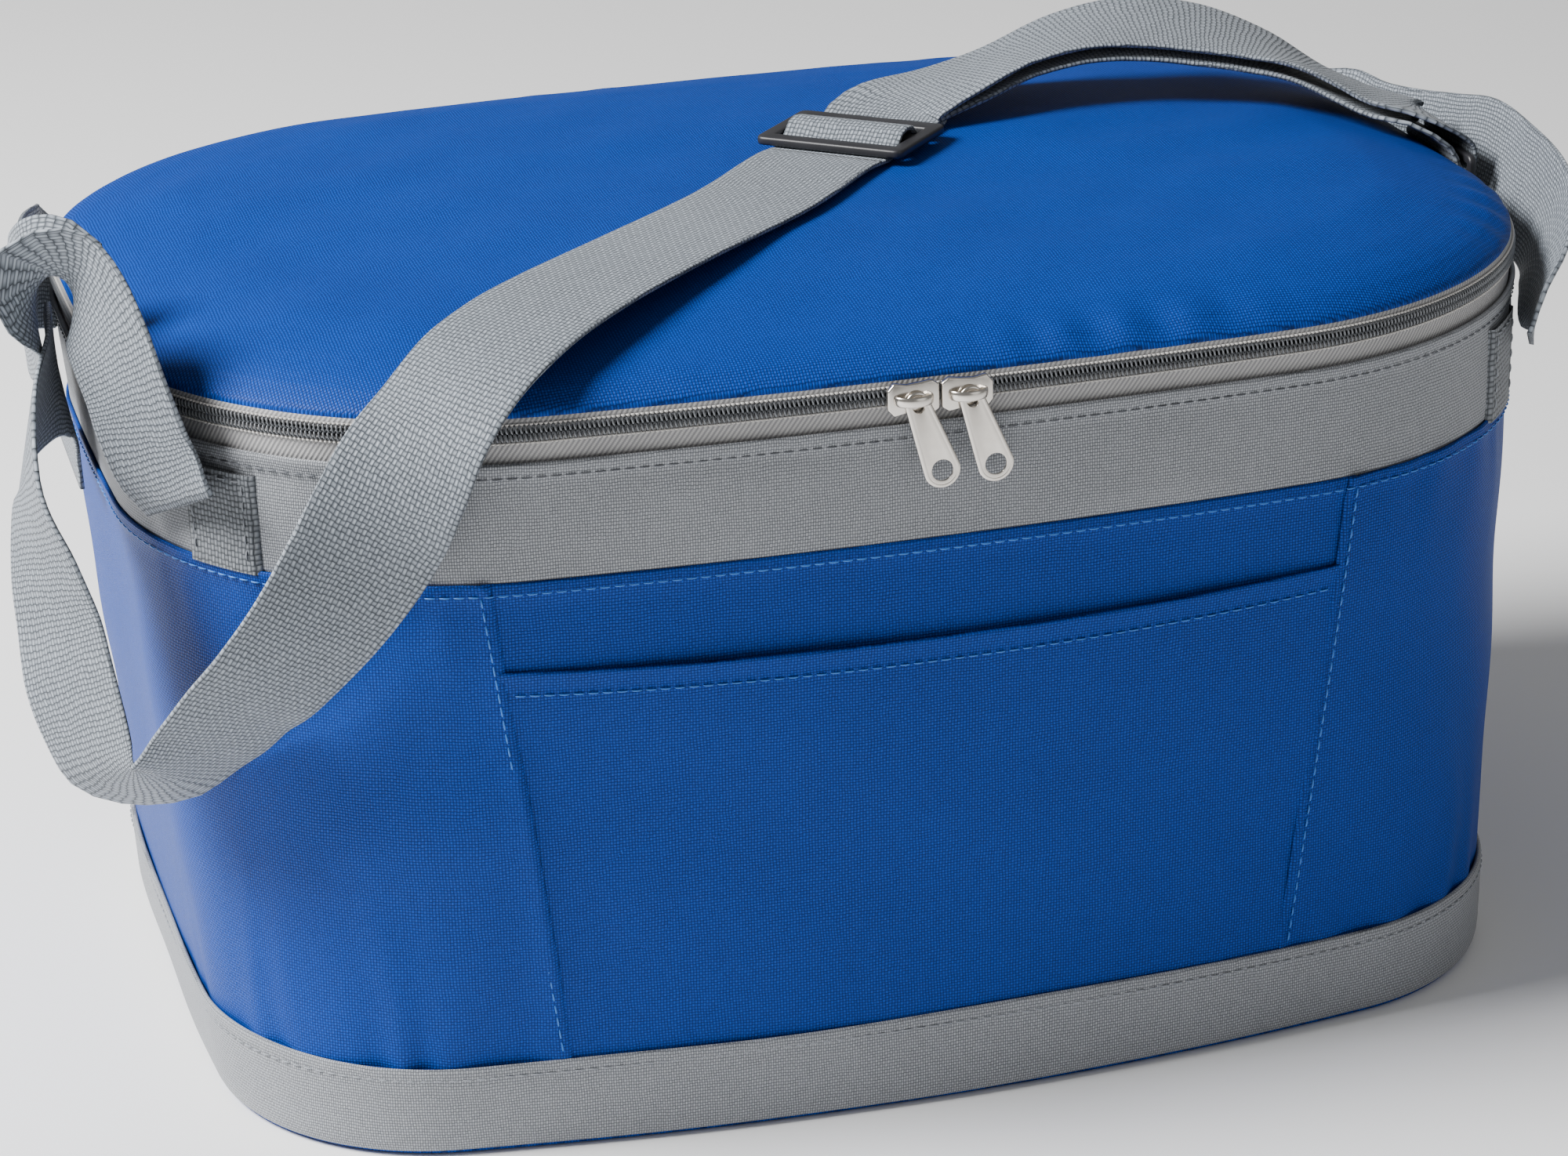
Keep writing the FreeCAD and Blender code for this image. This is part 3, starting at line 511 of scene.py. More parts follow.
# ---------------------------------------------------------------- lower band
# A grey band of the same weave round the foot, its edges turned in and the upper one top-stitched.
grey_cloth = woven("grey_cloth", (0.085, 0.09, 0.10, 1), (0.46, 0.48, 0.51, 1), 0.70, 0.92, 0.50, 0.2, 0.26)
band_rows = [(1.3, -0.6), (1.5, 0.4), (2.2, 1.1), (3.4, 1.6), (5.0, 1.9)]
band_rows += [(height, 2.0) for height in np.linspace(25.5, 7.0, 20)[::-1]]
band_rows += [(27.0, 2.0), (28.0, 1.7), (28.2, 1.0), (27.6, 0.4), (26.4, 0.1)]
band_heights, band_outs = as_columns(band_rows)
band_turns = np.linspace(-2.0, 2.0, 760)
band_run = band_turns * quarter_length(14.0) * np.ones_like(band_heights)
band_wave = ripples(band_run, band_heights * np.ones_like(band_run), 51, 7, 50.0, 150.0)
# the sewn edge wanders a little up and down, and less towards the floor
wander = 0.35 * np.sin(band_run / 47.0) + 0.25 * np.sin(band_run / 19.0)
wander_heights = band_heights + wander * np.clip(band_heights / BAND_TOP, 0, 1)
band_points, _ = wall(band_turns, wander_heights, band_outs + band_wave * 0.3)
lower_band = cloth("foot_band_cloth", band_points, laid(band_run, band_heights), grey_cloth, "bag")
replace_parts(lower_band, "lower_band")
grey_thread = thread_finish("grey_thread", (0.30, 0.32, 0.35, 1.0), 0.5)
foot_path, foot_away = wall(whole_way, 24.6, 2.15)
stitching("foot_band_stitching", foot_path, foot_away, grey_thread, "bag")

# ---------------------------------------------------------------- upper band
# The grey band below the zip.  Its foot goes under the blue edge; its top is folded over the zip
# tape and top-stitched.
top_rows = [(168.0, -2.4), (170.0, -1.6), (171.4, -0.5)]
top_rows += [(height, 0.05) for height in np.linspace(172.6, 200.0, 26)]
top_rows += [(202.0, 0.5), (203.6, 0.95), (205.0, 1.2), (205.6, 1.0), (205.8, 0.4), (205.4, -0.3), (204.0, -0.5)]
top_heights, top_outs = as_columns(top_rows)
top_turns = np.linspace(-2.0, 2.0, 820)
top_run = top_turns * quarter_length(190.0) * np.ones_like(top_heights)
top_wave = ripples(top_run, top_heights * np.ones_like(top_run), 57, 8, 40.0, 160.0) * 0.4
top_wave = top_wave * np.clip((205 - top_heights) / 12, 0, 1) * np.clip((top_heights - 172) / 6, 0, 1)
top_points, _ = wall(top_turns, top_heights, top_outs + top_wave)
upper_band = cloth("upper_band_cloth", top_points, laid(top_run, top_heights), grey_cloth, "bag")
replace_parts(upper_band, "upper_band")
dark_thread = thread_finish("dark_thread", (0.16, 0.17, 0.19, 1.0), 0.55)
fold_path, fold_away = wall(whole_way, 201.6, 0.85)
stitching("upper_band_stitching", fold_path, fold_away, dark_thread, "bag", thread=0.24)

# ---------------------------------------------------------------- zip tapes and hinge strip
# Light grey twill tapes carry the coils; at the middle of the back a plain strip joins body and lid.
HINGE_HALF = 95.0
SEAM_HEIGHT = 218.0


def twill(name, dark, light, pitch):
    """Slanting ribs of a narrow woven tape, with painted shade in the grooves between them."""
    finish, shader, wire = new_finish(name, {"Sheen Weight": 0.2, "Sheen Roughness": 0.5})
    place = wire.node("UVMap", {"uv_map": "lay"})
    across = wire.node("SeparateXYZ", None, {0: place})
    up = wire.node("SeparateXYZ", None, {0: place}, 1)
    rib = ((across * 0.8 - up * 0.55) * (2 * math.pi / pitch)).sine() * 0.5 + 0.5
    yarn = ((across * 0.6 + up) * (2 * math.pi / 0.62)).sine() * 0.5 + 0.5
    height = rib * (0.65 + yarn * 0.35)
    shade = wire.node("TexNoise", None, {"Vector": place, "Scale": 0.05, "Detail": 4.0})
    # the colour darkens with the ribs' height: painted shade in the grooves
    tone = wire.node("Clamp", None, {0: height * 0.8 + shade * 0.4 - 0.08})
    connect(shader, "Base Color", tone.blend(dark, light))
    connect(shader, "Roughness", 0.72 - height * 0.12)
    connect(shader, "Normal", wire.node("Bump", None, {"Strength": 0.6, "Distance": 0.25 * MM, "Height": height}))
    return finish


tape_cloth = twill("tape_cloth", (0.16, 0.16, 0.17, 1), (0.50, 0.49, 0.48, 1), 1.15)
hinge_share = float(around_at(HINGE_HALF + 0.6, ZIP_HEIGHT))
zip_turns = np.linspace(-2.0 + hinge_share, 2.0 - hinge_share, 900)
hinge_turns = np.linspace(2.0 - hinge_share, 2.0 + hinge_share, 120)


def strip(name, turns, rows, finish, body):
    """A narrow tape round the bag, its section given as rows of height and offset."""
    heights, outs = as_columns(rows)
    points, _ = wall(turns, heights, outs)
    run = turns * quarter_length(ZIP_HEIGHT) * np.ones_like(heights)
    return cloth(name, points, laid(run, heights), finish, body)


low_tape_rows = [(203.8, -0.8), (205.8, -0.75), (208.5, -0.5), (211.0, -0.35), (212.0, -0.4), (212.6, -0.8)]
low_tape = strip("low_tape_cloth", zip_turns, low_tape_rows, tape_cloth, "bag")
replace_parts(low_tape, "zip_tape_lower")
high_tape_rows = [(215.0, -0.8), (215.6, -0.5), (216.6, -0.35), (217.6, -0.5), (218.6, -1.1), (219.2, -2.0)]
high_tape = strip("high_tape_cloth", zip_turns, high_tape_rows, tape_cloth, "lid")
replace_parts(high_tape, "zip_tape_upper")
hinge_rows = [(z, -0.7 + 0.7 * math.sin((z - 204.0) / 15.0 * math.pi)) for z in np.linspace(204.0, 219.0, 20)]
hinge_cloth = strip("hinge_cloth", hinge_turns, hinge_rows, grey_cloth, None)
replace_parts(hinge_cloth, "hinge_strip_lower", "hinge_strip_upper")
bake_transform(hinge_cloth)

# ---------------------------------------------------------------- zip coils
# Two nylon coils sewn to the tapes, each a fine spiral; beside each runs its pale row of stitches.
COIL_PITCH = 1.28


def coil(name, height, finish, body):
    """A spiral of monofilament along the zip, squashed so that its turns stand across the zip."""
    path_turns = np.linspace(-2.0 + hinge_share, 2.0 - hinge_share, 4000)
    path, away = wall(path_turns, height, -0.15)
    steps = np.linalg.norm(np.diff(path, axis=0), axis=1)
    run = np.concatenate([[0.0], np.cumsum(steps)])
    turns_made = int(run[-1] / COIL_PITCH)
    where = np.linspace(0.0, run[-1], turns_made * 8 + 1)
    at = lambda table: np.stack([np.interp(where, run, table[:, k]) for k in range(3)], -1)
    middle, out = at(path), at(away)
    phase = where / run[-1] * turns_made * 2 * math.pi
    up = np.array([0.0, 0.0, 1.0])
    line = middle + out * (np.sin(phase) * 0.62)[:, None] + up * np.cos(phase)[:, None]
    ahead = np.gradient(line, axis=0)
    ahead /= np.linalg.norm(ahead, axis=1)[:, None]
    first = np.cross(ahead, up)
    first /= np.linalg.norm(first, axis=1)[:, None]
    second = np.cross(first, ahead)
    rings = [line + (first * math.cos(a) + second * math.sin(a)) * 0.30 for a in np.linspace(0, 2 * math.pi, 6)]
    points = np.stack(rings, 0)
    lay = np.stack([np.broadcast_to(where, points.shape[:2]), np.zeros(points.shape[:2])], -1)
    return cloth(name, points, lay, finish, body, flip=True)


def nylon(name, colour, roughness):
    """Dyed nylon, a little uneven in colour and shine."""
    finish, shader, wire = new_finish(name, {"Specular IOR Level": 0.5})
    place = wire.node("TexCoord", None, None, 3)
    fleck = wire.node("TexNoise", None, {"Vector": place, "Scale": 240.0, "Detail": 3.0})
    darker = (colour[0] * 0.75, colour[1] * 0.75, colour[2] * 0.75, 1.0)
    connect(shader, "Base Color", fleck.blend(darker, colour))
    connect(shader, "Roughness", fleck * 0.15 + (roughness - 0.08))
    return finish


coil_nylon = nylon("coil_nylon", (0.20, 0.21, 0.225, 1.0), 0.38)
low_coil = coil("low_coil", 212.75, coil_nylon, "bag")
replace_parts(low_coil, "zip_coil_lower")
high_coil = coil("high_coil", 214.9, coil_nylon, "lid")
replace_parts(high_coil, "zip_coil_upper")
pale_thread = thread_finish("pale_thread", (0.62, 0.60, 0.57, 1.0), 0.5)
for name, height, body in (("low_tape_beads", 211.2, "bag"), ("high_tape_beads", 216.4, "lid")):
    path, away = wall(np.linspace(-2.0 + hinge_share, 2.0 - hinge_share, 2500), height, 0.0)
    stitching(name, path, away, pale_thread, body, length=1.15, gap=0.13, thread=0.34)

# ---------------------------------------------------------------- lid
# A soft padded top of the blue cloth, slightly domed; it is eased into the zip seam, which makes
# small pleats along its edge.
LID_STUFFING = 3.2
LID_PROFILE = [(-1.2, 0.9), (0.0, 0.6), (0.9, 0.75), (1.9, 1.5), (3.2, 3.6), (5.0, 7.2), (6.5, 12.0), (8.2, 21.0),
               (9.6, 34.0), (10.8, 52.0), (11.6, 72.0), (12.1, 90.0), (12.4, 108.0)]
profile = np.asarray(LID_PROFILE)
arc = np.concatenate([[0.0], np.cumsum(np.hypot(np.diff(profile[:, 0]), np.diff(profile[:, 1])))])
rows_along = np.concatenate([np.linspace(0.0, 14.0, 20), np.linspace(15.5, arc[-1], 44)])
lid_rise = np.interp(rows_along, arc, profile[:, 0])[:, None]
lid_inset = np.interp(rows_along, arc, profile[:, 1])[:, None]
lid_turns = np.linspace(-2.0, 2.0, 860)
lid_points, _ = wall(lid_turns, ZIP_HEIGHT, -lid_inset)
lid_run = lid_turns * quarter_length(ZIP_HEIGHT) * np.ones_like(lid_inset)
ease = np.exp(-((lid_inset - 7.0) / 8.0) ** 2)
gathered = np.clip(ripples(lid_run, 0 * lid_run, 61, 6, 60.0, 260.0), 0, 2)
pleats = np.sin(lid_run / 3.1 + 2.2 * np.sin(lid_run / 37.0)) * gathered
lid_points[..., 2] = SEAM_HEIGHT + lid_rise + 0.55 * ease * pleats
rings = [lid_points]
for inward in np.linspace(0.1, 1.0, 10):
    ring = lid_points[-1].copy()
    ring[:, 1] *= 1 - inward
    ring[:, 0] *= 1 - 0.15 * inward
    ring[:, 2] = SEAM_HEIGHT + LID_PROFILE[-1][0] + 0.3 * inward
    rings.append(ring[None])
lid_points = np.concatenate(rings, 0)
flat_x, flat_y = lid_points[..., 0], lid_points[..., 1]
# the stuffing fills the lid out away from its seam, a little more towards the right end
inside = np.clip(np.concatenate([lid_inset, np.full((10, 1), LID_PROFILE[-1][1])]) / 40.0, 0, 1)
dents = ripples(flat_x, flat_y, 67, 9, 90.0, 260.0) * 1.1 + ripples(flat_x, flat_y, 71, 9, 28.0, 70.0) * 0.22
lid_points[..., 2] += (dents + LID_STUFFING) * inside + 1.0 * inside * np.clip(flat_x / 210.0, -0.6, 1.0)
lid_cloth = cloth("lid_cloth", lid_points, lid_points[..., :2].copy(), blue_cloth, "lid")
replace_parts(lid_cloth, "lid_cover")

# ---------------------------------------------------------------- inside of the bag and lid
# Aluminised film over foam, crumpled where it has been folded; the raw edges are bound with tape.
foil, foil_shader, foil_wire = new_finish("foil", {"Metallic": 0.85, "Coat Weight": 0.15})
foil_place = foil_wire.node("TexCoord", None, None, 3)
crumple = foil_wire.node("TexVoronoi", {"feature": "DISTANCE_TO_EDGE"}, {"Vector": foil_place, "Scale": 42.0})
crease = foil_wire.node("TexNoise", None, {"Vector": foil_place, "Scale": 60.0, "Detail": 5.0})
crush = crumple * 0.9 + crease * 0.5
connect(foil_shader, "Base Color", crease.blend((0.52, 0.53, 0.55, 1), (0.80, 0.81, 0.83, 1)))
connect(foil_shader, "Roughness", crease * 0.3 + 0.22)
foil_bump = foil_wire.node("Bump", None, {"Strength": 0.5, "Distance": 1.2 * MM, "Height": crush})
connect(foil_shader, "Normal", foil_bump)
inner_turns = np.linspace(-2.0, 2.0, 300)
inner_rows = [(height, -7.5 - 0.35 * math.sin(height * 0.4)) for height in np.linspace(9.0, 209.2, 40)]
heights, outs = as_columns(inner_rows)
inner_run = inner_turns * quarter_length(MIDDLE_HEIGHT) * np.ones_like(heights)
crumpled = ripples(inner_run, heights * np.ones_like(inner_run), 81, 14, 12.0, 60.0) * 0.3
inner_points, _ = wall(inner_turns, heights, outs + crumpled)
inner_wall = cloth("foil_wall", inner_points, laid(inner_run, heights), foil, "bag", flip=True)
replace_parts(inner_wall, "liner_wall")


def flat_lining(name, level, rim_out, outline_height, body, node, flip, seed):
    """A sheet of film that fills the outline at one level."""
    edge = wall(inner_turns, outline_height, rim_out)[0]
    rings = []
    for inward in np.linspace(0.0, 1.0, 30):
        ring = edge * (1 - 0.985 * inward)
        ring[:, 2] = level + ripples(ring[:, 0], ring[:, 1], seed, 14, 15.0, 70.0) * 0.22 * min(inward * 6, 1)
        rings.append(ring)
    points = np.stack(rings)
    piece = cloth(name, points, points[..., :2].copy(), foil, body, flip=flip)
    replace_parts(piece, node)


flat_lining("foil_base", 8.0, -7.4, 8.0, "bag", "liner_base", False, 83)
flat_lining("foil_lid", 214.9, -4.2, ZIP_HEIGHT, "lid", "lid_liner", True, 87)
bound_rows = [(208.6, -1.3), (210.6, -1.25), (211.7, -2.2), (212.0, -4.4), (211.7, -6.8), (210.4, -7.7),
              (208.4, -7.9)]
rim_tape = strip("rim_binding_cloth", inner_turns, bound_rows, tape_cloth, "bag")
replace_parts(rim_tape, "rim_binding")
lid_bound_rows = [(216.6, -1.5), (215.0, -1.45), (214.4, -1.9), (214.6, -2.8), (215.0, -4.4)]
lid_tape = strip("lid_binding_cloth", inner_turns, lid_bound_rows, tape_cloth, "lid")
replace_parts(lid_tape, "lid_binding")

foam_finish, foam_shader, foam_wire = new_finish("foam", {})
foam_place = foam_wire.node("TexCoord", None, None, 3)
cells = foam_wire.node("TexVoronoi", None, {"Vector": foam_place, "Scale": 900.0})
connect(foam_shader, "Base Color", cells.blend((0.80, 0.80, 0.78, 1), (0.90, 0.90, 0.88, 1)))
connect(foam_shader, "Roughness", cells * 0.2 + 0.75)
for node in ("wall_foam", "base_foam", "lid_foam"):
    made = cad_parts[node].data.materials
    made.clear()
    made.append(foam_finish)

# ---------------------------------------------------------------- webbing handles
# 38 mm polypropylene webbing, a coarse weave of thick flat yarns.  Each end is folded narrower and
# sewn down on the upper band; the loop between flops over.
webbing_cloth = woven("webbing_cloth", (0.036, 0.042, 0.050, 1), (0.37, 0.41, 0.46, 1), 1.28, 1.62, 0.46, 0.08, 0.55,
                      floats=0.30, patch=0.05)


def smooth_route(stops, step):
    """Points and width directions along a webbing, eased between its stops."""
    place = np.asarray([p for p, _ in stops], float)
    width = np.asarray([w for _, w in stops], float)
    width /= np.linalg.norm(width, axis=1)[:, None]
    both = np.concatenate([place, width], 1)
    both = np.concatenate([2 * both[:1] - both[1:2], both, 2 * both[-1:] - both[-2:-1]])
    line = []
    for k in range(1, len(both) - 2):
        a, b, c, d = both[k - 1:k + 3]
        parts = max(int(np.linalg.norm(c[:3] - b[:3]) / step), 2)
        for t in np.linspace(0, 1, parts, endpoint=False):
            line.append(0.5 * (2 * b + (c - a) * t + (2 * a - 5 * b + 4 * c - d) * t * t
                               + (3 * b - a - 3 * c + d) * t ** 3))
    line.append(both[-2])
    line = np.asarray(line)
    return line[:, :3], line[:, 3:]


WEBBING_WIDTH = 38.0
WEBBING_THICK = 1.45


def webbing(name, stops, body=None, step=3.0, start=0.0):
    """A flat woven strap with rounded selvedges, swept along its stops; start is how far along the
    whole strap it begins.  Gives the piece and its length."""
    place, width = smooth_route(stops, step)
    ahead = np.gradient(place, axis=0)
    ahead /= np.linalg.norm(ahead, axis=1)[:, None]
    width = width - ahead * (width * ahead).sum(1)[:, None]
    width /= np.linalg.norm(width, axis=1)[:, None]
    face = np.cross(ahead, width)
    half, deep = WEBBING_WIDTH / 2, WEBBING_THICK / 2
    # the section once round: across, up, and the place on the flat cloth
    section = [(u, deep, u) for u in np.linspace(-half + 1.0, half - 1.0, 15)]
    section += [(half - 0.3, deep * 0.8, half - 0.3), (half, 0.0, half), (half - 0.3, -deep * 0.8, half + 0.4)]
    section += [(u, -deep, WEBBING_WIDTH - u) for u in np.linspace(half - 1.0, -half + 1.0, 15)]
    far = WEBBING_WIDTH + half
    section += [(-half + 0.3, -deep * 0.8, far - 0.3), (-half, 0.0, far), (-half + 0.3, deep * 0.8, far + 0.4),
                (-half + 1.0, deep, far + 1.0)]
    run = np.concatenate([[0.0], np.cumsum(np.linalg.norm(np.diff(place, axis=0), axis=1))]) + start
    points = np.stack([place + width * u + face * v for u, v, _ in section], 0)
    lay = np.stack([np.stack([np.full_like(run, w + 1000.0), run], -1) for _, _, w in section], 0)
    piece = cloth(name, points, lay, webbing_cloth, body, flip=True)
    joined = bmesh.new()
    joined.from_mesh(piece.data)
    bmesh.ops.remove_doubles(joined, verts=joined.verts, dist=1e-6)
    bmesh.ops.holes_fill(joined, edges=[e for e in joined.edges if e.is_boundary])
    joined.to_mesh(piece.data)
    joined.free()
    return piece, run[-1] - start


# The handle ends are the same webbing as the handles; this copy of its finish has darker colours, painted shade for
# the ends on the upright band.
webbing_ends_shaded_cloth = woven("webbing_ends_shaded_cloth", (0.03, 0.034, 0.039, 1), (0.27, 0.29, 0.315, 1), 1.28, 1.62, 0.55, 0.2, 0.5,
                    floats=0.30)
HANDLE_TURNS = 0.645
PATCH_FOOT = 171.0
PATCH_TOP = 199.0
PATCH_WIDTH = 26.0
STITCHED_IN = 0.030


def sewn_patch(name, turns):
    """A webbing end lying flat on the upper band, its raw edges turned down to the cloth."""
    share = PATCH_WIDTH / 2 / quarter_length(190.0)
    columns = np.linspace(turns - share, turns + share, 18)[None, :]
    rows = np.asarray([PATCH_FOOT, PATCH_FOOT + 1, *np.linspace(PATCH_FOOT + 2, PATCH_TOP - 2, 8), PATCH_TOP - 1,
                       PATCH_TOP])[:, None]
    outs = 1.75 - 1.5 * (np.abs(columns - turns) > share * 0.985) * np.ones_like(rows)
    points, _ = wall(columns, rows, outs)
    run = (columns - turns) * quarter_length(190.0) * np.ones_like(rows)
    return cloth(name, points, laid(run, rows), webbing_ends_shaded_cloth, "bag")


for name, turns in (("left_front", 4 - HANDLE_TURNS), ("left_back", 2 + HANDLE_TURNS),
                    ("right_front", HANDLE_TURNS), ("right_back", 2 - HANDLE_TURNS)):
    patch = sewn_patch(name + "_handle_end", turns)
    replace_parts(patch, ("left" if "left" in name else "right") + "_handle_ends")
    for number, beside in enumerate((-STITCHED_IN, STITCHED_IN)):
        path, away = wall(turns + beside, np.linspace(174.0, 197.0, 20), 2.05)
        stitching("%s_end_stitching_%d" % (name, number), path, away, grey_thread, "bag")
    path, away = wall(np.linspace(turns - STITCHED_IN, turns + STITCHED_IN, 20), 197.0, 2.05)
    stitching(name + "_end_stitching_top", path, away, grey_thread, "bag")

# each stop: a point on the middle line, then the way across the webbing
LEFT_LOOP = [
    ((-196, -101, 188), (-0.50, 0.86, 0.00)),
    ((-200, -99, 196), (-0.58, 0.80, 0.10)),
    ((-203, -97, 204), (-0.56, 0.83, -0.05)),
    ((-205, -96, 211), (-0.48, 0.80, -0.30)),
    ((-207, -94, 219), (-0.44, 0.79, -0.42)),
    ((-210, -88, 231), (-0.44, 0.78, -0.45)),
    ((-213, -80, 240), (-0.38, 0.80, -0.45)),
    ((-216, -72, 245), (-0.22, 0.87, -0.42)),
    ((-220, -66, 246), (-0.05, 0.92, -0.38)),
    ((-223, -59, 243), (0.05, 0.97, -0.05)),
    ((-225, -50, 238), (0.00, 0.80, 0.55)),
    ((-225, -38, 231), (-0.10, 0.50, 0.85)),
    ((-224, -22, 223), (-0.12, 0.20, 0.96)),
    ((-223, -2, 215), (-0.10, 0.00, 0.98)),
    ((-221, 22, 209), (-0.08, 0.00, 0.98)),
    ((-217, 50, 206), (0.00, 0.10, 0.98)),
    ((-212, 74, 204), (0.10, 0.45, 0.88)),
    ((-207, 91, 201), (0.35, 0.85, 0.30)),
    ((-201, 99, 195), (0.50, 0.86, 0.00)),
    ((-196, 101, 188), (0.50, 0.86, 0.00)),
]
left_loop, left_length = webbing("left_handle_webbing", LEFT_LOOP)
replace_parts(left_loop, "left_handle")
left_length * MM
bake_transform(left_loop)
RIGHT_LOOP = [
    ((197, -101, 190), (0.50, 0.86, 0.00)),
    ((200, -98, 198), (0.40, 0.90, -0.08)),
    ((206, -90, 206), (0.15, 0.90, -0.35)),
    ((212, -78, 212), (-0.05, 0.70, -0.65)),
    ((218, -60, 215), (-0.18, 0.35, -0.90)),
    ((222, -32, 216), (-0.25, 0.08, -0.95)),
    ((224, -6, 216), (-0.26, 0.00, -0.95)),
    ((224, 20, 211), (-0.26, 0.00, -0.95)),
    ((223, 46, 206), (-0.24, -0.05, -0.95)),
    ((219, 66, 204), (-0.18, -0.35, -0.90)),
    ((214, 84, 205), (-0.05, -0.70, -0.65)),
    ((208, 94, 204), (0.15, -0.90, -0.35)),
    ((202, 100, 199), (0.40, -0.90, -0.08)),
    ((196, 101, 190), (0.50, -0.86, 0.00)),
]
right_loop, right_length = webbing("right_handle_webbing", RIGHT_LOOP)
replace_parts(right_loop, "right_handle")
right_length * MM
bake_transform(right_loop)

# ---------------------------------------------------------------- shoulder strap
# The same webbing in one length: sewn in at the left, over the lid, through the adjuster, round the
# ring at the right and back under itself to the adjuster.
SLIDE_AT = (29.0, 18.0)
SLIDE_TURN = math.radians(48.0)


def by_slide(along, height):
    """A stop on the strap, by its distance along from the middle of the adjuster."""
    return (SLIDE_AT[0] + along * math.cos(SLIDE_TURN), SLIDE_AT[1] + along * math.sin(SLIDE_TURN), height)


SLIDE_WIDTH = (math.sin(SLIDE_TURN), -math.cos(SLIDE_TURN), 0.0)
LEFT_STRAP = [
    ((-212, 2, 168), (0.0, -1.0, 0.0)),
    ((-213, 0, 184), (0.0, -1.0, 0.0)),
    ((-215, -7, 197), (0.0, -0.85, -0.50)),
    ((-218, -24, 205), (-0.05, -0.30, -0.95)),
    ((-224, -46, 206), (-0.10, 0.30, -0.95)),
    ((-230, -64, 202), (-0.05, 0.60, -0.78)),
    ((-233, -76, 195), (-0.05, 0.80, -0.60)),
    ((-234, -82, 184), (-0.15, 0.90, -0.40)),
    ((-232, -87, 170), (-0.36, 0.87, -0.33)),
    ((-230, -91, 156), (-0.48, 0.80, -0.34)),
    ((-229, -98, 142), (-0.54, 0.74, -0.42)),
    ((-226.5, -104, 129), (-0.48, 0.74, -0.48)),
    ((-223.5, -108, 119), (-0.36, 0.78, -0.50)),
    ((-217, -110, 114), (-0.10, 0.80, -0.58)),
    ((-206.5, -113, 115), (0.10, 0.72, -0.68)),
    ((-197, -120, 125), (0.33, 0.62, -0.70)),
    ((-190, -128, 136), (0.48, 0.53, -0.68)),
    ((-181, -136, 148), (0.60, 0.36, -0.70)),
    ((-169, -142, 164), (0.77, 0.15, -0.60)),
    ((-159, -145, 179), (0.77, -0.05, -0.62)),
    ((-151, -147, 193), (0.74, -0.28, -0.60)),
    ((-144, -149, 207), (0.68, -0.55, -0.48)),
    ((-135, -147, 220), (0.52, -0.80, -0.30)),
    ((-122, -138, 230.5), (0.45, -0.86, -0.20)),
    ((-106, -123, 235.5), (0.50, -0.86, -0.10)),
    ((-86, -103, 237), (0.58, -0.81, -0.04)),
    ((-57, -75, 237), (0.64, -0.77, 0.0)),
    ((-18, -38, 236.6), (0.70, -0.71, 0.0)),
    (by_slide(-30.0, 235.8), SLIDE_WIDTH),
    (by_slide(-18.0, 235.2), SLIDE_WIDTH),
]
left_strap, left_run = webbing("strap_left_webbing", LEFT_STRAP)
RIGHT_STRAP = [
    (by_slide(-18.0, 235.2), SLIDE_WIDTH),
    (by_slide(-10.0, 235.0), SLIDE_WIDTH),
    (by_slide(-3.6, 240.3), SLIDE_WIDTH),
    (by_slide(3.6, 240.3), SLIDE_WIDTH),
    (by_slide(10.0, 235.2), SLIDE_WIDTH),
    (by_slide(18.5, 235.6), SLIDE_WIDTH),
    (by_slide(30.0, 238.4), SLIDE_WIDTH),
    ((68, 45, 243), (0.45, -0.88, 0.10)),
    ((89, 50, 248), (0.25, -0.95, 0.15)),
    ((110, 51, 253.5), (0.05, -0.99, -0.02)),
    ((130, 49, 255), (-0.08, -0.98, -0.16)),
    ((150, 44, 252.5), (-0.15, -0.97, -0.18)),
    ((168, 36, 247), (-0.15, -0.98, -0.08)),
    ((183, 25, 240), (-0.10, -0.99, 0.05)),
    ((195, 12, 235), (0.0, -1.0, 0.0)),
    ((204, 2, 232), (0.0, -1.0, 0.0)),
    ((210.5, 0, 228.6), (0.0, -1.0, 0.0)),
    ((214.4, 0, 225.6), (0.0, -1.0, 0.0)),
    ((215.9, 0, 223.0), (0.0, -1.0, 0.0)),
    ((215.9, 0, 219.4), (0.0, -1.0, 0.0)),
    ((214.8, 0, 217.6), (0.0, -1.0, 0.0)),
    ((213.2, 0, 217.0), (0.0, -1.0, 0.0)),
    ((211.5, 0, 217.6), (0.0, -1.0, 0.0)),
    ((210.4, 0, 219.4), (0.0, -1.0, 0.0)),
    ((209.0, 0, 223.0), (0.0, -1.0, 0.0)),
    ((203.5, 2, 227.5), (0.0, -1.0, 0.0)),
    ((194, 12, 231), (0.0, -1.0, 0.0)),
    ((182, 25, 235.8), (-0.10, -0.99, 0.05)),
    ((167, 36, 242.8), (-0.15, -0.98, -0.08)),
    ((150, 44, 248.2), (-0.15, -0.97, -0.18)),
    ((130, 49, 250.8), (-0.08, -0.98, -0.16)),
    ((110, 51, 249), (0.05, -0.99, -0.02)),
    ((90, 50, 243.8), (0.25, -0.95, 0.15)),
    ((69, 45, 239.6), (0.45, -0.88, 0.10)),
    (by_slide(34.0, 236.6), SLIDE_WIDTH),
    (by_slide(24.0, 235.0), SLIDE_WIDTH),
]
right_strap, right_run = webbing("strap_right_webbing", RIGHT_STRAP, start=left_run)
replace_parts(left_strap, "shoulder_strap")
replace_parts(right_strap, "shoulder_strap")
left_run * MM
right_run * MM
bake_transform(left_strap)
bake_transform(right_strap)

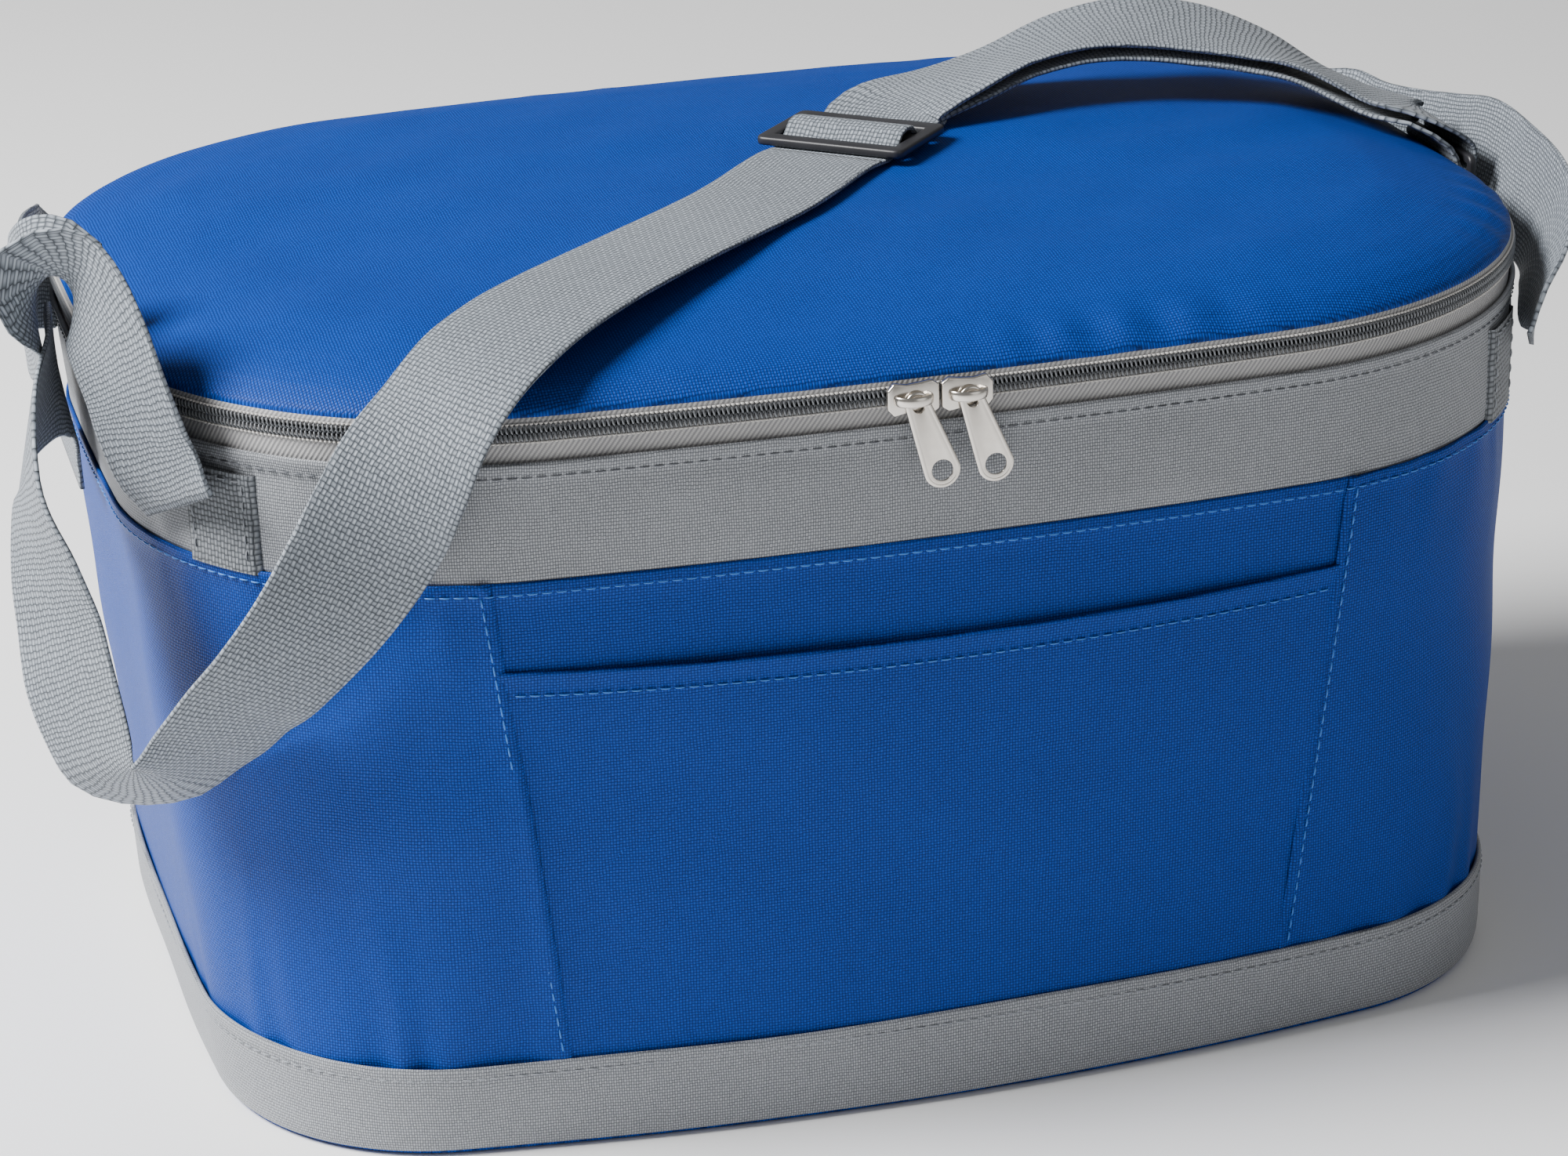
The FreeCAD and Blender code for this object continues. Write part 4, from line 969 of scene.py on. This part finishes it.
# ---------------------------------------------------------------- strap ring and its tab
# A short webbing loop sewn to the right end holds a flat black ring, which the strap turns round.
TAB = [((x, 0.0, z), (0.0, 1.0, 0.0)) for x, z in (
    (208.6, 172.0), (210.2, 198.0), (210.5, 203.0), (210.5, 205.4), (211.4, 207.2), (213.2, 207.8), (215.0, 207.2),
    (215.9, 205.4), (215.9, 203.0), (214.8, 200.0), (212.9, 195.0), (211.6, 188.0), (210.4, 172.0))]
ring_tab, _ = webbing("ring_tab_webbing", TAB, "bag", step=1.0)
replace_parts(ring_tab, "strap_ring_tab")


def moulded(name, colour, roughness):
    """Black moulded plastic with a fine spark-eroded grain."""
    finish, shader, wire = new_finish(name, {"Specular IOR Level": 0.5})
    place = wire.node("TexCoord", None, None, 3)
    grain = wire.node("TexNoise", None, {"Vector": place, "Scale": 2600.0, "Detail": 3.0})
    rub = wire.node("TexNoise", None, {"Vector": place, "Scale": 90.0, "Detail": 4.0})
    lighter = tuple(c * 2.2 + 0.006 for c in colour[:3]) + (1.0,)
    connect(shader, "Base Color", rub.blend(colour, lighter))
    connect(shader, "Roughness", rub * 0.2 + (roughness - 0.1))
    connect(shader, "Normal", wire.node("Bump", None, {"Strength": 0.25, "Distance": 0.06 * MM, "Height": grain}))
    return finish


black_plastic = moulded("black_plastic", (0.010, 0.010, 0.012, 1.0), 0.42)


def from_shape(name, shape):
    """Makes a piece of a shape drawn in millimetres."""
    for corner in shape.verts:
        corner.co *= MM
    mesh = bpy.data.meshes.new(name)
    shape.to_mesh(mesh)
    shape.free()
    piece = bpy.data.objects.new(name, mesh)
    bpy.context.collection.objects.link(piece)
    return piece


def round_edges(piece, width, sharper_than):
    """Softens the edges that turn by more than so many degrees."""
    soften = piece.modifiers.new("soften", "BEVEL")
    soften.width = width * MM
    soften.segments = 3
    soften.limit_method = "ANGLE"
    soften.angle_limit = math.radians(sharper_than)


def settle(piece, finish, matrix, body):
    """Gives a hard piece its finish and its place, and sets it on its body."""
    piece.data.shade_smooth()
    piece.data.materials.append(finish)
    piece.matrix_world = matrix
    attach(piece, body)
    return piece


def framed_plate(name, length, width, thick, windows, round_off, body, matrix):
    """A flat plate with rectangular windows and softened edges: x is the length, y the width."""
    xs = sorted({-length / 2, length / 2, *[w for window in windows for w in window[:2]]})
    ys = sorted({-width / 2, width / 2, *[w for window in windows for w in window[2:]]})
    shape = bmesh.new()
    corners = {(x, y, z): shape.verts.new((x, y, z)) for x in xs for y in ys for z in (-thick / 2, thick / 2)}
    filled = {}
    for i in range(len(xs) - 1):
        for j in range(len(ys) - 1):
            mid_x, mid_y = (xs[i] + xs[i + 1]) / 2, (ys[j] + ys[j + 1]) / 2
            filled[i, j] = not any(a < mid_x < b and c < mid_y < d for a, b, c, d in windows)
    for (i, j), solid in filled.items():
        if not solid:
            continue
        box = [(xs[i], ys[j]), (xs[i + 1], ys[j]), (xs[i + 1], ys[j + 1]), (xs[i], ys[j + 1])]
        shape.faces.new([corners[(x, y, thick / 2)] for x, y in box])
        shape.faces.new([corners[(x, y, -thick / 2)] for x, y in box[::-1]])
        for (di, dj), (a, b) in (((0, -1), (0, 1)), ((1, 0), (1, 2)), ((0, 1), (2, 3)), ((-1, 0), (3, 0))):
            if filled.get((i + di, j + dj)):
                continue
            shape.faces.new([corners[(*box[a], -thick / 2)], corners[(*box[b], -thick / 2)],
                             corners[(*box[b], thick / 2)], corners[(*box[a], thick / 2)]])
    bmesh.ops.dissolve_limit(shape, angle_limit=0.01, verts=shape.verts, edges=shape.edges)
    upright_edges = [e for e in shape.edges if abs(e.verts[0].co.z - e.verts[1].co.z) > thick * 0.9
                     and abs(e.verts[0].co.x) > length / 2 - 0.1 and abs(e.verts[0].co.y) > width / 2 - 0.1]
    bmesh.ops.bevel(shape, geom=upright_edges, offset=2.6, segments=5, profile=0.5, affect="EDGES")
    piece = from_shape(name, shape)
    round_edges(piece, round_off, 35)
    return settle(piece, black_plastic, matrix, body)


SLIDE_HEIGHT = 237.4
slide_place = Matrix.Translation(Vector((*SLIDE_AT, SLIDE_HEIGHT)) * MM) @ Matrix.Rotation(SLIDE_TURN, 4, "Z")
slide_windows = [(-11.0, -2.75, -19.5, 19.5), (2.75, 11.0, -19.5, 19.5)]
slide = framed_plate("strap_slide", 33.0, 48.0, 2.7, slide_windows, 0.85, "adjuster", slide_place)
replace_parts(slide, "strap_adjuster")
ring_place = Matrix.Translation(Vector((213.2, 0.0, 212.5)) * MM) @ Matrix.Rotation(math.pi / 2, 4, "Y")
ring_windows = [(-7.0, 7.0, -20.5, 20.5)]
ring_loop = framed_plate("strap_ring_loop", 20.0, 47.0, 2.3, ring_windows, 0.8, "ring", ring_place)
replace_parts(ring_loop, "strap_ring")

# ---------------------------------------------------------------- zip sliders and pulls
# Die-cast, nickel plated.  Each slider has a winged front plate with a bridge along it; a long flat
# pull with a raised rim and a round hole hooks over the bridge.
nickel, nickel_shader, nickel_wire = new_finish("nickel", {"Metallic": 1.0})
nickel_place = nickel_wire.node("TexCoord", None, None, 3)
haze = nickel_wire.node("TexNoise", None, {"Vector": nickel_place, "Scale": 260.0, "Detail": 5.0})
connect(nickel_shader, "Base Color", haze.blend((0.60, 0.56, 0.51, 1), (0.82, 0.78, 0.72, 1)))
connect(nickel_shader, "Roughness", haze * 0.18 + 0.14)
nickel_bump = nickel_wire.node("Bump", None, {"Strength": 0.12, "Distance": 0.1 * MM, "Height": haze})
connect(nickel_shader, "Normal", nickel_bump)


def solid_piece(name, build, bevel, matrix, body, subdivide=0):
    """A nickel piece, built by one of the shapes below."""
    shape = bmesh.new()
    build(shape)
    bmesh.ops.recalc_face_normals(shape, faces=shape.faces)
    piece = from_shape(name, shape)
    if bevel:
        round_edges(piece, bevel, 30)
    if subdivide:
        smooth = piece.modifiers.new("smooth", "SUBSURF")
        smooth.levels = subdivide
        smooth.render_levels = subdivide
    return settle(piece, nickel, matrix, body)


def plate_shape(outline_points, low, high):
    """Builds a flat plate: x along the zip, z up it, y out of the bag as negative."""
    def build(shape):
        near = [shape.verts.new((x, -high, z)) for x, z in outline_points]
        far = [shape.verts.new((x, -low, z)) for x, z in outline_points]
        shape.faces.new(near)
        shape.faces.new(far[::-1])
        for k in range(len(outline_points)):
            after = (k + 1) % len(outline_points)
            shape.faces.new([near[k], near[after], far[after], far[k]])
    return build


def tube_shape(path, closed, thick, wide, sideways):
    """A bar of oval section swept along a path of points."""
    def build(shape):
        loops = []
        count = len(path)
        for k, point in enumerate(path):
            before = path[k - 1] if (k or closed) else path[0]
            after = path[(k + 1) % count] if (k < count - 1 or closed) else path[-1]
            ahead = (Vector(after) - Vector(before)).normalized()
            flat = Vector(sideways) - ahead * ahead.dot(Vector(sideways))
            flat.normalize()
            lift_way = ahead.cross(flat)
            loops.append([
                shape.verts.new(Vector(point) + flat * (math.cos(a) * wide) + lift_way * (math.sin(a) * thick))
                for a in np.linspace(0, 2 * math.pi, 10, endpoint=False)])
        pairs = list(zip(loops, loops[1:])) + ([(loops[-1], loops[0])] if closed else [])
        for one, two in pairs:
            for k in range(10):
                shape.faces.new([one[k], one[(k + 1) % 10], two[(k + 1) % 10], two[k]])
        if not closed:
            shape.faces.new(loops[0][::-1])
            shape.faces.new(loops[-1])
    return build


def pull_outline(grow):
    """The pull's edge: a narrow rounded head and straight sides that widen to a round foot."""
    head, foot = 3.1 + grow, 4.8 + grow
    points = [(math.sin(a) * head, math.cos(a) * head - 1.9) for a in np.linspace(-math.pi / 2, math.pi / 2, 11)]
    points += [(math.sin(a) * foot, math.cos(a) * foot - 22.2) for a in np.linspace(math.pi / 2, 3 * math.pi / 2, 21)]
    return points


def holed_plate(outline_points, holes, low, high):
    """A plate with round holes, made by joining its outline to the holes' edges and filling between."""
    def build(shape):
        for level in (low, high):
            loops = []
            for loop in [outline_points, *holes]:
                made = [shape.verts.new((x, -level, z)) for x, z in loop]
                edges = [shape.edges.new((made[k], made[(k + 1) % len(made)])) for k in range(len(made))]
                loops.append((made, edges))
            bmesh.ops.triangle_fill(shape, use_beauty=True, edges=[e for _, es in loops for e in es])
            if level == low:
                low_loops = loops
        for (first, _), (second, _) in zip(low_loops, loops):
            for k in range(len(first)):
                after = (k + 1) % len(first)
                shape.faces.new([first[k], first[after], second[after], second[k]])
    return build


def round_hole(half_width, half_height, level, corners):
    """The edge of a round or oval hole."""
    return [(math.sin(a) * half_width, math.cos(a) * half_height + level)
            for a in np.linspace(0, 2 * math.pi, corners, endpoint=False)]


SLIDER_OUTLINE = [(-7.2, 2.6), (-5.4, 4.6), (-1.8, 3.9), (2.4, 4.3), (5.2, 4.7), (7.2, 3.4),
                  (7.2, -3.4), (5.2, -4.7), (2.4, -4.3), (-1.8, -3.9), (-5.4, -4.6), (-7.2, -2.6)]
BRIDGE = [(-5.4, -1.2, 0.0), (-5.0, -2.9, 0.0), (-3.6, -4.4, 0.0), (-1.4, -5.2, 0.0), (1.2, -5.2, 0.0),
          (3.4, -4.5, 0.0), (4.8, -3.0, 0.0), (5.2, -1.2, 0.0)]
PULL_PIVOT = -5.0
PULL_SWING = math.radians(-19.0)
for side_name, x, nose in (("left", -7.5, 1), ("right", 7.5, -1)):
    bend = math.asin(x / RIM["front"])
    y = -RIM["half_depth"] + RIM["front"] * (1 - math.cos(bend))
    at = Matrix.Translation(Vector((x, y, ZIP_HEIGHT)) * MM) @ Matrix.Rotation(bend, 4, "Z")
    pulled = at @ Matrix.Translation(Vector((0, -2.2, 0)) * MM)
    slider_body = "zip_slider_%s_body" % side_name
    pull_body = "zip_pull_%s_body" % side_name
    outline = [(px * nose, pz) for px, pz in SLIDER_OUTLINE]
    plate = solid_piece("slider_plate_" + side_name, plate_shape(outline, -0.2, 1.7), 0.45, pulled, slider_body)
    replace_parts(plate, "zip_slider_" + side_name)
    arch = [(px * nose, py, pz) for px, py, pz in BRIDGE]
    bar = tube_shape(arch, False, 0.55, 1.5, (0, 0, 1))
    solid_piece("slider_bridge_" + side_name, bar, 0, pulled, slider_body, 1)
    hang = at @ Matrix.Translation(Vector((0, PULL_PIVOT, 0.6)) * MM) @ Matrix.Rotation(PULL_SWING, 4, "Y")
    hole = round_hole(3.0, 3.0, -22.2, 28)
    eye = round_hole(1.7, 1.9, -2.6, 18)
    tab_shape = holed_plate(pull_outline(-0.3), [hole, eye], -0.45, 0.45)
    tab = solid_piece("pull_tab_" + side_name, tab_shape, 0.15, hang, pull_body)
    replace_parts(tab, "zip_pull_" + side_name)
    rim = [(px, 0.0, pz) for px, pz in pull_outline(-0.4)]
    rim_bar = tube_shape(rim, True, 0.85, 0.55, (0, 1, 0))
    solid_piece("pull_rim_" + side_name, rim_bar, 0, hang, pull_body, 1)
